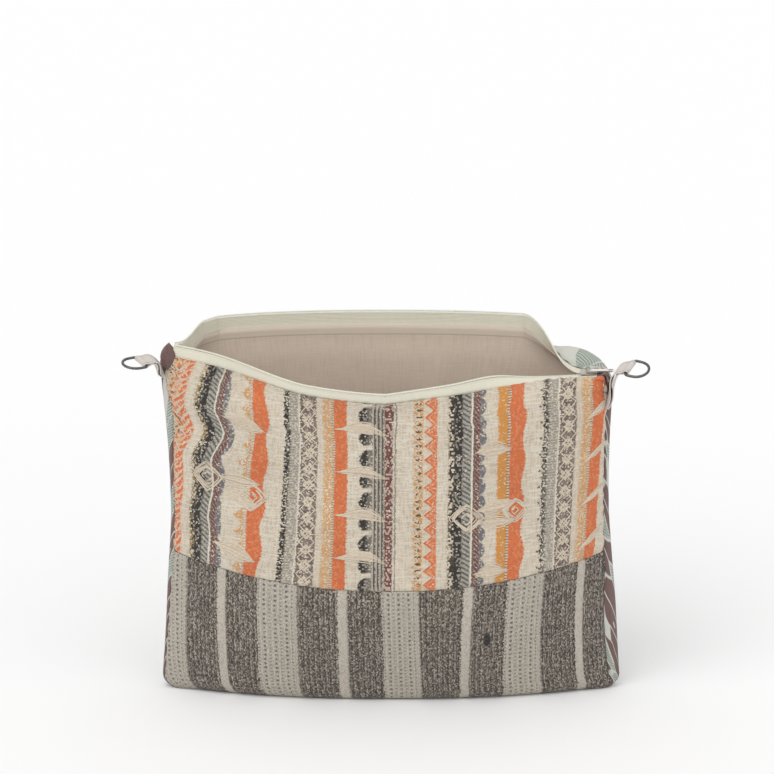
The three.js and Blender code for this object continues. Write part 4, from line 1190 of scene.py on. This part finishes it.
dye = dye.lay((0.06, 0.052, 0.044), wide * bold * lot.over(0.12, 0.04) * 0.85)
dye = dye.lay((0.11, 0.095, 0.08), wide * faint * lot.over(0.2, 0.04) * 0.75)
dye = dye.lay(LINT, narrow)
dye = dye.lay((0.38, 0.335, 0.28), narrow * (1 - lot.over(0.3, 0.05)) * 0.6)
# painted shade: the colour is darkened in the gaps between yarns
dye = dye.lay((0.40, 0.36, 0.32), weave_gap_shade * 0.3, "MULTIPLY")
dye.onto(shader.inputs["Base Color"])
ribs = weave_height + lot * 0.4 + wide * (q + 1.0).tent(2.33) * 0.9
bumped(tree, shader, ribs, 0.5)
print("lower cloth nodes:", len(tree.nodes))

# %% Lower front cloth: the piece
lower_place = (lower_weave_u - LOWER_START) % LOWER_REPEAT
lower_band = band_relief(lower_place, [WIDE, NARROW], 0.4) * standing
lower_out = normals_of(lower_base, FRONT)
lower_points = lower_base + lower_out * (lower_relief + lower_band)[..., None]
lower_uv = np.stack([lower_weave_u, lower_v], -1)
lower_quads = quads_of(LOWER_ROWS, COLUMNS)
lower_panel = new_piece("lower_front_cloth", lower_points, lower_quads, lower_material, lower_uv)
thicken(weld(lower_panel, False), CLOTH_THICK)
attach(lower_panel, "bag")
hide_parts("front_lower_panel")
print("lower cloth faces:", len(lower_panel.data.polygons))

# %% [markdown]
# ## The printed back cloth
# One cloth makes the whole back and comes round both sides to the front seams. Its print is a
# patchwork of mauve blocks with pale joints, some blocks left pale and filled with fine sage dots.
# A Voronoi pattern, stretched to the blocks' shape, gives each block its own number.

# %% Back cloth: the surface
BACK_ROWS = 169
# behind the parked slider the cloth is pushed out into a soft puff: its height, its place across and
# its half width, and how far under the mouth it rises and falls again
PUFF, PUFF_U, PUFF_HALF, PUFF_RISE, PUFF_FALL = 9.0, 162.0, 19.0, (2, 16), (28, 70)
back_base_rows, back_fold = base_rows(BACK, 24, 12)
back_wall = wall(BACK, back_fold, shoulder_height(BACK, S), 90)[1:]
back_turn = shoulder(BACK, S[None] + np.zeros((40, 1)), np.linspace(0, 1, 41)[1:, None])
back_base, back_length = even_rows(np.concatenate([back_base_rows, back_wall, back_turn]), BACK_ROWS)
back_u = across_cloth(BACK)[None] + np.zeros((BACK_ROWS, 1))
back_v = back_length[None] * np.linspace(0, 1, BACK_ROWS)[:, None]
back_to_top = back_length[None] - back_v
back_to_side = (1 - np.abs(S))[None] * back_u.max() + 0 * back_v
back_standing = ease(0, 18, back_base[..., 2])
puff = PUFF * np.exp(-(((back_u - PUFF_U) / PUFF_HALF) ** 2))
puff = puff * ease(*PUFF_RISE, back_to_top) * (1 - ease(*PUFF_FALL, back_to_top))
back_relief = back_standing * (
    (2.2 * noise(back_u / 70, back_v / 130, 31) + 1.1 * noise(back_u / 26, back_v / 60, 32))
    * ease(0, 26, back_to_top) * ease(0, 22, back_to_side)
    + 0.7 * puckers(back_u, back_to_top, 9.0, 11.0, 33)
    + 0.7 * puckers(back_v, back_to_side, 13.0, 8.0, 35)
    - 1.3 * np.exp(-back_to_side / 2.5)
    + puff
)
back_out = normals_of(back_base, BACK)
back_points = back_base + back_out * back_relief[..., None]
back_shell = rolled_edge(back_points, back_out, EDGE_ROLL, EDGE_TUCK)
print("back cloth height along the cloth, mm:", back_length.max().round(1))

# %% Back cloth: the print
MAUVE, MAUVE_DARK = (0.19, 0.114, 0.102), (0.145, 0.085, 0.078)
CHALK, SAGE = (0.64, 0.64, 0.58), (0.115, 0.195, 0.155)
BLOCK, DOT_STEP, PATCH_AT, PATCH_HALF = (24.0, 19.0), 2.3, (180.0, 322.0), 40.0


def print_group():
    """Inputs U and V in mm; outputs Block, 1 on a mauve block, Dots, 1 on a sage dot, and Spot,
    1 on a pale spot in the middle of a block.

    The blocks round PATCH_AT, at one upper corner, are always pale, the middle ones with dots."""
    tree, u, v = new_group("block_print", "U", "V")
    place = joined(tree, u / BLOCK[0], v / BLOCK[1])
    cells, joints = (tree.nodes.new("ShaderNodeTexVoronoi") for _ in range(2))
    joints.feature = "DISTANCE_TO_EDGE"
    for node in (cells, joints):
        node.voronoi_dimensions = "2D"
        node.inputs["Scale"].default_value = 1.0
        node.inputs["Randomness"].default_value = 0.62
        tree.links.new(place, node.inputs["Vector"])
    split = tree.nodes.new("ShaderNodeSeparateColor")
    tree.links.new(cells.outputs["Color"], split.inputs[0])
    lot = Field(tree, split.outputs[0])
    inside = Field(tree, joints.outputs["Distance"]).over(0.045, 0.015)
    centre = tree.nodes.new("ShaderNodeSeparateXYZ")
    tree.links.new(cells.outputs["Position"], centre.inputs[0])
    aside, above = (
        (Field(tree, centre.outputs[axis]) * BLOCK[axis] - PATCH_AT[axis]) / PATCH_HALF for axis in (0, 1)
    )
    apart = aside * aside + above * above
    patch, middle = 1 - apart.over(1.0, 0.001), 1 - apart.over(0.4, 0.001)
    mauve = lot.over(0.34, 0.001) * (1 - patch)
    dot = (u / DOT_STEP * np.pi * 2).sin() * (v / DOT_STEP * np.pi * 2).sin()
    block = inside * mauve
    bare = (1 - lot.over(0.24, 0.001)) * inside
    dots = (1 - mauve) * mix(bare, middle * inside, patch) * dot.over(-0.05, 0.15)
    from_middle = Field(tree, cells.outputs["Distance"])
    spot = block * lot.between(0.60, 0.76, 0.001) * (1 - from_middle.over(0.10, 0.015))
    return put_out(tree, Block=block, Dots=dots, Spot=spot)


BLOCK_PRINT = print_group()


back_material, tree, shader = new_material("back_cloth", 0.9, Sheen_Weight=0.1)
u, v = cloth_coordinates(tree)
block, dots, spot = placed(tree, BLOCK_PRINT, u, v)
weave_height, weave_gap_shade = woven(tree, u, v, 0.7, 0.7)
dye = Dye(tree, CHALK).lay(SAGE, dots * 0.9).lay(MAUVE, block)
dye = dye.lay(MAUVE_DARK, block * grain(tree, u / 3.0, v / 1.2).over(0.52, 0.1) * 0.7)
dye = dye.lay(CHALK, spot * 0.9)
# painted shade: the colour is darkened in the gaps between yarns
dye = dye.lay((0.5, 0.46, 0.44), weave_gap_shade * 0.35, "MULTIPLY")
dye.onto(shader.inputs["Base Color"])
bumped(tree, shader, weave_height, 0.35)
print("print nodes:", len(BLOCK_PRINT.nodes), "back cloth nodes:", len(tree.nodes))

# %% Back cloth: the piece
back_uv = rolled_uv(back_u, back_v, len(back_shell))
back_quads = quads_of(len(back_shell), COLUMNS)[:, ::-1]
back_panel = new_piece("back_cloth", back_shell, back_quads, back_material, back_uv)
thicken(weld(back_panel, False), CLOTH_THICK)
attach(back_panel, "bag")
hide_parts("back_panel")
print("back cloth faces:", len(back_panel.data.polygons))

# %% [markdown]
# ## The lining
# Inside, the bag is lined with beige linen that hangs from the zip tape, with a plain facing strip
# along the top. It is a little loose, so it falls in soft upright folds. We offset the outer cloths
# inwards and let the folds go inwards only, so that the two never touch.

# %% Linings
# LINEN_PAINTED_LIGHT is lighter than the linen itself: painted light that makes up for the shade inside the
# bag
LINEN_PAINTED_LIGHT, FACING = (0.70, 0.595, 0.495), (0.72, 0.62, 0.515)
FACING_HEIGHT = 8.0
lining_material, tree, shader = new_material("linen_lining", 0.92, Sheen_Weight=0.1)
u, v = cloth_coordinates(tree)
weave_height, weave_gap_shade = woven(tree, u, v, 0.75, 0.75, 1.2)
dye = Dye(tree, LINEN_PAINTED_LIGHT)
dye = dye.lay((0.56, 0.465, 0.38), grain(tree, u / 1.0, v / 22.0).over(0.56, 0.1) * 0.4)
dye = dye.lay((0.78, 0.69, 0.58), grain(tree, u / 18.0, v / 0.9).over(0.58, 0.08) * 0.45)
dye = dye.lay(FACING, v.over(-FACING_HEIGHT, 0.2) * 0.85)
# painted shade: a dark line along the foot of the facing, where the crease under it is shaded
dye = dye.lay((0.30, 0.24, 0.19), v.between(-FACING_HEIGHT - 0.5, -FACING_HEIGHT + 0.3, 0.2) * 0.5)
# painted shade: the colour is darkened in the gaps between yarns
dye = dye.lay((0.55, 0.5, 0.46), weave_gap_shade * 0.3, "MULTIPLY")
dye.onto(shader.inputs["Base Color"])
bumped(tree, shader, weave_height, 0.35)

LINING_STEP, LINING_TOP, LINING_THICK, FRONT_ROWS = 2, 0.996, 0.5, 169


def lining(name, side, base, length, seed):
    """The outer cloth's grid, offset inwards and hung in upright folds that fade at the top."""
    rows = np.linspace(0, LINING_TOP * (len(base) - 1), len(base) // 2)
    columns = np.arange(4, COLUMNS - 4, LINING_STEP)
    out = normals_of(base, side)
    row, column = np.meshgrid(rows, columns, indexing="ij")
    points, away = between_rows(base, row, column * 1.0), unit(between_rows(out, row, column * 1.0))
    below = (LINING_TOP * (len(base) - 1) - row) / (len(base) - 1) * length[columns][None]
    u = across_cloth(side)[columns][None] + 0 * below
    from_side = (1 - np.abs(S[columns]))[None] * u.max()
    hang = ease(4, 60, below) * ease(4, 40, from_side) * ease(0, 40, points[..., 2])
    folds = 1.6 + 1.7 * noise(u / 14, below / 190, seed) + 0.8 * noise(u / 38, below / 90, seed + 1)
    inset = 2.95 + 1.8 * ease(3, 30, below) * ease(2, 20, from_side) + np.maximum(folds, 0) * hang
    inset = inset + 0.5 * (1 - ease(FACING_HEIGHT - 0.6, FACING_HEIGHT + 0.6, below))
    shell = points - away * inset[..., None]
    quads = quads_of(*row.shape)
    quads = quads[:, ::-1] if side == FRONT else quads
    piece = new_piece(name, shell, quads, lining_material, np.stack([u, -below], -1))
    thicken(weld(piece, False), LINING_THICK)
    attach(piece, "bag")
    return piece


whole_wall = wall(FRONT, fold_top, shoulder_height(FRONT, S), 110)[1:]
front_columns = np.concatenate([front_base, whole_wall, turn_over])
front_whole, front_length = even_rows(front_columns, FRONT_ROWS)
front_lining = lining("front_lining", FRONT, front_whole, front_length, 41)
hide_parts("lining_front")
back_lining = lining("back_lining", BACK, back_base, back_length, 45)
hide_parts("lining_back")
print("lining faces:", len(front_lining.data.polygons), len(back_lining.data.polygons))

# %% [markdown]
# ## The zip
# Each side of the zip is a cream tape, sewn under the cloth's edge, with a nylon coil along its free
# edge. The tape is a grid that starts under the cloth and leaves it along the mouth's own direction.
# The coil is a helix, carried along the tape's edge, because its turns are what one sees up close.

# %% Zip tapes
TAPE_OUT, TAPE_INSET, TAPE_THICK, COIL_RADIUS, GAP = 9.0, 1.9, 0.7, 0.9, 0.3
TAPE = (0.82, 0.785, 0.64)
tape_material, tree, shader = new_material("zip_tape", 0.82, Sheen_Weight=0.1)
u, v = cloth_coordinates(tree)
rib = (v * (2 * np.pi / 1.15)).sin() * 0.5 + 0.5
weft = (u * (2 * np.pi / 0.6)).sin() * 0.5 + 0.5
dye = Dye(tree, TAPE).lay((0.68, 0.655, 0.545), rib.over(0.75, 0.2) * 0.3)
dye = dye.lay((0.86, 0.85, 0.76), grain(tree, u / 2.0, v / 0.7).over(0.58, 0.08) * 0.5)
dye = dye.lay((0.64, 0.655, 0.54), v.between(TAPE_OUT - 1.6, TAPE_OUT - 0.9, 0.2) * 0.5)
dye.onto(shader.inputs["Base Color"])
bumped(tree, shader, rib * 0.7 + weft * 0.3, 0.3)


def zip_columns(side, count):
    """Columns of a side between the ends of the zip, evenly spaced along the mouth's edge."""
    fine = np.linspace(-1, 1, 4001)
    share = edge_share(side, fine)
    inside = fine[(share >= ZIP_ENDS[0]) & (share <= ZIP_ENDS[1])]
    walk = walked(edge_point(side, inside)[0])
    even = np.linspace(0, walk[-1], count)
    return np.interp(even, walk, inside), even


def zip_tape(name, side, seed):
    """Rows under the shoulder's last part, then straight on along the mouth's direction."""
    s, length = zip_columns(side, 321)
    point, along, into, _ = mouth(side, s)
    under = shoulder(side, s[None] + np.zeros((8, 1)), np.linspace(0.72, 1, 9)[:-1, None], TAPE_INSET)
    out = np.linspace(0, TAPE_OUT, 12)[:, None, None]
    wave = 0.22 * puckers(length[None] + 0 * out[..., 0], out[..., 0], 9.0, 12.0, seed)
    free = point + into * (TAPE_INSET - wave[..., None]) + along * out
    shell = np.concatenate([under, free])
    reach = np.linalg.norm(under - under[-1:], axis=-1)
    v = np.concatenate([-reach, out[..., 0] + 0 * length])
    quads = quads_of(len(shell), len(s))
    quads = quads if side == FRONT else quads[:, ::-1]
    piece = new_piece(name, shell, quads, tape_material, np.stack([0 * v + length, v], -1))
    thicken(piece, TAPE_THICK)
    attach(piece, "bag")
    return piece, length[-1]


front_tape, front_tape_length = zip_tape("front_zip_tape", FRONT, 51)
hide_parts("zip_tape_front")
back_tape, back_tape_length = zip_tape("back_zip_tape", BACK, 53)
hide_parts("zip_tape_back")
print("tape lengths, mm:", round(front_tape_length, 1), round(back_tape_length, 1))

# %% Zip coils
COIL_PITCH, COIL_WIRE, TURN_STEPS, WIRE_SIDES = 1.7, 0.42, 9, 5
coil_material, tree, shader = new_material("nylon_coil", 0.42, Coat_Weight=0.1)
x, _, z = object_place(tree)
dye = Dye(tree, (0.82, 0.80, 0.69))
dye = dye.lay((0.70, 0.68, 0.57), grain(tree, x / 1.4, z / 1.4).over(0.55, 0.1) * 0.6)
dye.onto(shader.inputs["Base Color"])


def swept(path, right, up, radius, sides):
    """A round tube: at each point of a path, a ring in the plane of right and up."""
    turn = np.linspace(0, 2 * np.pi, sides, endpoint=False)[None, :, None]
    return path[:, None] + radius * (np.cos(turn) * right[:, None] + np.sin(turn) * up[:, None])


def capped(path, right, up, radius, sides):
    """A tube whose first and last rings are pinched to a point."""
    grid = swept(path, right, up, radius, sides)
    return np.concatenate([path[:1, None].repeat(sides, 1), grid, path[-1:, None].repeat(sides, 1)])


def zip_coil(name, side, length):
    """A helix round the line beside the tape's edge, and a cord through it."""
    turns = int(length / COIL_PITCH)
    s, _ = zip_columns(side, turns * TURN_STEPS)
    point, along, into, _ = mouth(side, s)
    line = point + into * (TAPE_INSET + TAPE_THICK / 2) + along * (TAPE_OUT + GAP + COIL_RADIUS)
    angle = np.linspace(0, 2 * np.pi * turns, len(s))[:, None]
    arm = np.cos(angle) * along + np.sin(angle) * into
    helix = line + arm * (COIL_RADIUS - COIL_WIRE)
    run = unit(np.gradient(helix, axis=0))
    winding = capped(helix, arm, np.cross(run, arm), COIL_WIRE, WIRE_SIDES)
    core = capped(line[::6], along[::6], into[::6], COIL_RADIUS * 0.5, 6)
    first, second = quads_of(*winding.shape[:2], ring=True), quads_of(*core.shape[:2], ring=True)
    cloud = np.concatenate([winding.reshape(-1, 3), core.reshape(-1, 3)])
    quads = np.concatenate([first, second + winding.shape[0] * winding.shape[1]])
    piece = weld(new_piece(name, cloud, quads, coil_material))
    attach(piece, "bag")
    return piece


front_coil = zip_coil("front_zip_coil", FRONT, front_tape_length)
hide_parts("zip_coil_front")
back_coil = zip_coil("back_zip_coil", BACK, back_tape_length)
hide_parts("zip_coil_back")
print("coil faces:", len(front_coil.data.polygons), len(back_coil.data.polygons))

# %% [markdown]
# ## Slider and pull
# These are small metal castings whose solids already have the right shape, so they stay, with a nickel
# finish: brighter on the pull, darker on the slider, each with duller patches and fine scratches.

# %% Metals
def scratches(tree, size):
    """Long thin noise that reads as fine wear, from the place on the piece."""
    x, y, z = object_place(tree)
    return grain(tree, x / size + y / (size * 9), z / size + y / size, 3.0)


def metal_material(name, bright, dull, rough_low, rough_high):
    """Metal with patches of a duller tone, rougher where it is duller."""
    material, tree, shader = new_material(name, 0.35, Metallic=1.0)
    wear = scratches(tree, 1.3)
    Dye(tree, bright).lay(dull, wear.over(0.5, 0.15)).onto(shader.inputs["Base Color"])
    rough = wear * (rough_high - rough_low) + rough_low
    tree.links.new(rough.socket, shader.inputs["Roughness"])
    bumped(tree, shader, wear, 0.05)
    return material


nickel = metal_material("nickel_slider", (0.60, 0.57, 0.52), (0.42, 0.40, 0.37), 0.22, 0.5)
pale_nickel = metal_material("nickel_pull", (0.86, 0.84, 0.80), (0.72, 0.70, 0.66), 0.2, 0.42)
antique = metal_material("antique_ring", (0.17, 0.16, 0.15), (0.085, 0.08, 0.075), 0.28, 0.55)
for node, finish in (("zip_slider", nickel), ("zip_pull", pale_nickel)):
    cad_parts[node].data.materials.clear()
    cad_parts[node].data.materials.append(finish)
print("metals:", nickel.name, pale_nickel.name, antique.name)

# %% [markdown]
# ## Ends of the zip
# A scrap of the back cloth covers each end of the zip. On the left it is folded round the upright
# tapes and reads as a mauve almond; on the right it lies flat under the pull and runs down the seam.

# %% End tabs
scrap_material, tree, shader = new_material("mauve_scrap", 0.9, Sheen_Weight=0.1)
x, y, z = object_place(tree)
weave_height, weave_gap_shade = woven(tree, x + y, z - y * 0.5, 0.7, 0.7)
dye = Dye(tree, MAUVE).lay(MAUVE_DARK, grain(tree, x / 2.0, z / 2.0).over(0.5, 0.12) * 0.8)
# painted shade: the colour is darkened in the gaps between yarns
dye = dye.lay((0.45, 0.42, 0.4), weave_gap_shade * 0.5, "MULTIPLY")
dye.onto(shader.inputs["Base Color"])
bumped(tree, shader, weave_height, 0.4)

ALMOND_MIDDLE, ALMOND_HALF = np.array([-178.4, -15.8, 286.8]), np.array([6.2, 6.6, 11.4])
a = np.linspace(-1, 1, 41)[:, None]
turn = np.linspace(0, 2 * np.pi, 40, endpoint=False)[None]
belly = np.maximum(1 - a**2, 0)
crease = 1 - 0.10 * np.exp(-(((turn - 1.5 * np.pi) / 0.16) ** 2))
almond = ALMOND_MIDDLE + ALMOND_HALF * points_of(
    belly * power(np.cos(turn), 0.9) + 0.18 * a,
    belly**0.6 * power(np.sin(turn), 0.8) * crease,
    a - 0.05 * np.cos(turn),
)
almond_quads = quads_of(*almond.shape[:2], ring=True)
left_end = weld(new_piece("left_zip_end", almond, almond_quads, scrap_material))
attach(left_end, "bag")
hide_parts("zip_end_tab_left")

STRIP_X = [164.6, 167.5, 170.0, 172.2, 174.2, 175.2, 175.0, 174.4]
STRIP_Y = [-6.0, -6.0, -7.5, -10.5, -13.6, -15.2, -15.4, -15.4]
STRIP_Z = [268.4, 269.0, 270.4, 270.2, 266.8, 261.0, 254.0, 246.0]
STRIP_HALF = [10.4, 10.2, 8.0, 5.0, 3.2, 2.6, 2.2, 1.2]
knots, fine = np.linspace(0, 1, len(STRIP_X)), np.linspace(0, 1, 50)


def through(values, order=5):
    """A smooth curve through a few values: a polynomial fitted to them."""
    return np.polyval(np.polyfit(knots, values, order), fine)


spine = points_of(through(STRIP_X), through(STRIP_Y), through(STRIP_Z))
STRIP_ARCH, DEPTHWISE = 0.9, np.array([0, 1.0, 0])
b = np.linspace(-1, 1, 13)[None, :, None]
strip_up = unit(np.cross(np.gradient(spine, axis=0), DEPTHWISE))
strip = spine[:, None] + DEPTHWISE * through(STRIP_HALF)[:, None, None] * b
strip = strip - strip_up[:, None] * STRIP_ARCH * (1 - b**2)
right_end = new_piece("right_zip_end", strip, quads_of(*strip.shape[:2]), scrap_material)
thicken(right_end, CLOTH_THICK)
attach(right_end, "bag")
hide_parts("zip_end_tab_right")
print("end tabs:", left_end.name, right_end.name)

# %% [markdown]
# ## Side tabs and D-rings
# A folded cotton tape is caught in each side seam and holds a wire D-ring, for a strap. The tape is one
# band: out from the seam, where it is gathered, round the ring's bar and back. It twists on its way,
# because its width lies along the bag's depth at the seam and along the bar at the ring.

# %% Tabs
TAB_WIDTH, TAB_LAYER, WIRE, BAR_GAP = 16.0, 0.8, 1.1, 0.35
TAB_SEAT, TAB_TURN, TAB_ROOT, TAB_PULL, TAB_END = 0.8, np.radians(-15), 0.5, 0.35, 5.0
TABS = {
    "left": {
        "seam": -1.0, "height": 272.0, "bar": (-17.5, -15.7, 15.5), "across": (0.487, -0.866, -0.113),
        "reach": (-0.868, -0.466, -0.162), "hang": (-0.87, -0.49, 0.01),
    },
    "right": {
        "seam": 1.0, "height": 244.0, "bar": (18.5, -13.7, 38.0), "across": (-0.43, -0.845, -0.318),
        "reach": (0.819, -0.512, 0.258), "hang": (0.9, -0.43, -0.07),
    },
}
tab_material, tree, shader = new_material("cotton_tab", 0.9, Sheen_Weight=0.15)
u, v = cloth_coordinates(tree)
weave_height, weave_gap_shade = woven(tree, u + v * 0.3, v, 0.8, 0.8)
dye = Dye(tree, (0.71, 0.66, 0.61))
dye = dye.lay((0.58, 0.53, 0.48), grain(tree, u / 5.0, v / 1.0).over(0.55, 0.1) * 0.5)
# painted shade: the gaps between yarns are dyed darker
dye = dye.lay((0.40, 0.35, 0.32), weave_gap_shade * 0.35)
edge_line = abs(u).between(TAB_WIDTH / 2 - 2.1, TAB_WIDTH / 2 - 1.5, 0.15)
edge_line = edge_line * v.saw(2.6).between(0.1, 0.8, 0.08)
dye = dye.lay((0.42, 0.37, 0.34), edge_line * 0.7)
dye.onto(shader.inputs["Base Color"])
bumped(tree, shader, weave_height - edge_line * 1.5, 0.4)


def frame_of(tab):
    """The seam point, the bar's middle and the unit directions of one tab."""
    root = section(FRONT, np.array(tab["seam"]), np.array(tab["height"]))
    reach, hang = unit(np.array(tab["reach"])), unit(np.array(tab["hang"]))
    across = np.array(tab["across"])
    return root, root + np.array(tab["bar"]), reach, hang, across


def square_to(v, axis):
    """v without its part along an axis, at length one."""
    return unit(v - np.sum(v * axis, -1, keepdims=True) * axis)


def tab_band(name, tab):
    """A curve from the seam to the bar for each layer, joined by a turn round the bar."""
    root, bar, reach, _, across = frame_of(tab)
    across = square_to(across, reach)
    seated = np.array([-tab["seam"] * np.sin(TAB_TURN), -np.cos(TAB_TURN), 0.0])
    outwards = np.array([tab["seam"] * np.cos(TAB_TURN), -np.sin(TAB_TURN), 0.0])
    start, end = root + outwards * TAB_SEAT, bar - reach * TAB_END
    pull = np.linalg.norm(end - start) * TAB_PULL
    t = np.linspace(0, 1, 40)[:, None]
    line = cubic(start, start + unit(np.array(tab["bar"])) * pull, end - reach * pull, end, t)
    ahead = unit(np.gradient(line, axis=0))
    wide = square_to(mix(seated, across, ease(0, 0.85, t)), ahead)
    up = np.cross(wide, ahead)
    apart = 0.2 + TAB_LAYER / 2 + 0.7 * np.sin(np.pi * t)
    normal = np.cross(across, reach)
    turn = np.linspace(0.78 * np.pi, -0.78 * np.pi, 28)[:, None]
    radius = WIRE + BAR_GAP + TAB_LAYER / 2
    loop = bar + radius * (np.cos(turn) * reach + np.sin(turn) * normal)
    path = np.concatenate([line + up * apart, loop, (line - up * apart)[::-1]])
    widths = np.concatenate([wide, np.broadcast_to(across, loop.shape), wide[::-1]])
    walk = walked(path)
    b = np.linspace(-1, 1, 15)[None, :, None]
    gathered = mix(TAB_ROOT, 1.0, ease(0, 0.6, t))
    full = np.concatenate([gathered, np.ones((len(loop), 1)), gathered[::-1]])
    soft = full[:, None] * (1 - 0.03 * np.sin(walk / 7.0)[:, None, None])
    shell = path[:, None] + widths[:, None] * b * soft * (TAB_WIDTH - 0.6) / 2
    uv = np.stack(np.broadcast_arrays(b[..., 0] * TAB_WIDTH / 2, walk[:, None]), -1)
    piece = new_piece(name, shell, quads_of(len(path), 15), tab_material, uv)
    thicken(piece, TAB_LAYER, 0.0)
    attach(piece, "bag")
    return piece


left_tab, right_tab = (tab_band(f"{side}_tab", TABS[side]) for side in ("left", "right"))
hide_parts("tab_left")
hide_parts("tab_right")
print("tabs:", left_tab.name, right_tab.name)

# %% D-rings
RING_SLACK, RING_ARM, RING_CORNER = 0.6, 6.5, 2.4


def ring_outline(count):
    """A D in its own plane: a straight bar, rounded corners, two arms and a half round."""
    half = TAB_WIDTH / 2 + RING_SLACK + WIRE
    turn = np.linspace(0, np.pi / 2, 12)
    corner = RING_CORNER * np.stack([1 - np.cos(turn), np.sin(turn) - 1], -1) + [0, half]
    bow = np.stack([RING_ARM + half * np.sin(2 * turn), half * np.cos(2 * turn)], -1)
    outline = np.concatenate([[[0, 0]], corner, bow, corner[::-1] * [1, -1], [[0, 0]]])
    walk = walked(outline)
    even = np.linspace(0, walk[-1], count, endpoint=False)
    return np.stack([np.interp(even, walk, outline[:, i]) for i in (0, 1)], -1)


def wire_ring(name, tab, body):
    """The outline in space, hung from the bar, with a round wire carried along it."""
    _, bar, _, hang, across = frame_of(tab)
    across = square_to(across, hang)
    outline = ring_outline(140)
    path = bar + outline[:, :1] * hang + outline[:, 1:] * across
    run = unit(np.roll(path, -1, axis=0) - np.roll(path, 1, axis=0))
    normal = np.broadcast_to(np.cross(hang, across), run.shape)
    grid = swept(path, np.cross(run, normal), normal, WIRE, 14)
    grid = np.concatenate([grid, grid[:1]])
    piece = weld(new_piece(name, grid, quads_of(*grid.shape[:2], ring=True), antique))
    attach(piece, body)
    return piece


left_ring = wire_ring("left_d_ring", TABS["left"], "ring_left")
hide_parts("ring_left")
right_ring = wire_ring("right_d_ring", TABS["right"], "ring_right")
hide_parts("ring_right")
print("rings:", left_ring.name, right_ring.name)

# %% [markdown]
# ## Sizes of the cloths
# Each cloth's size as it was cut, so that it could be laid flat again, is printed: its longest row,
# its longest column, and the area of its surface before the Solidify modifier.

# %% Sizes of the cloths
def span_of(grid, axis):
    """The longest line of a grid along one of its directions, in metres."""
    return float(np.linalg.norm(np.diff(grid, axis=axis), axis=-1).sum(axis=axis).max()) * MM


def cut_of(piece, grid):
    """Width, length and area of a cloth laid flat."""
    areas = np.empty(len(piece.data.polygons))
    piece.data.polygons.foreach_get("area", areas)
    return (span_of(grid, 1), span_of(grid, 0)), float(areas.sum())


for piece, grid, held, rests, extras in (
    (upper_panel, upper_shell, "stretched", ["zip_tape_front", "front_lower_panel"], [yarn_piece]),
    (lower_panel, lower_points, "stretched", ["front_upper_panel", "back_panel"], []),
    (back_panel, back_shell, "stretched", ["zip_tape_back", "front_lower_panel"], []),
    (front_lining, front_whole, "hung", ["zip_tape_front"], []),
    (back_lining, back_base, "hung", ["zip_tape_back"], []),
):
    flat, area = cut_of(piece, grid)
    print(piece.name, "cut, m:", [round(side, 3) for side in flat], "area, m2:", round(area, 4))

# %% [markdown]
# ## Floor
# A white floor catches the shadow.

# %% Floor
FLOOR_HALF, FLOOR_WHITE = 6000.0, 0.93
floor_material, tree, shader = new_material("floor_paper", 1.0)
shader.inputs["Base Color"].default_value = (FLOOR_WHITE, FLOOR_WHITE, FLOOR_WHITE, 1)
floor_points = np.array([[-1, -1, 0], [1, -1, 0], [1, 1, 0], [-1, 1, 0]]) * FLOOR_HALF
floor = new_piece("floor", floor_points, np.array([[0, 1, 2, 3]]), floor_material)
print("floor, m:", 2 * FLOOR_HALF * MM)
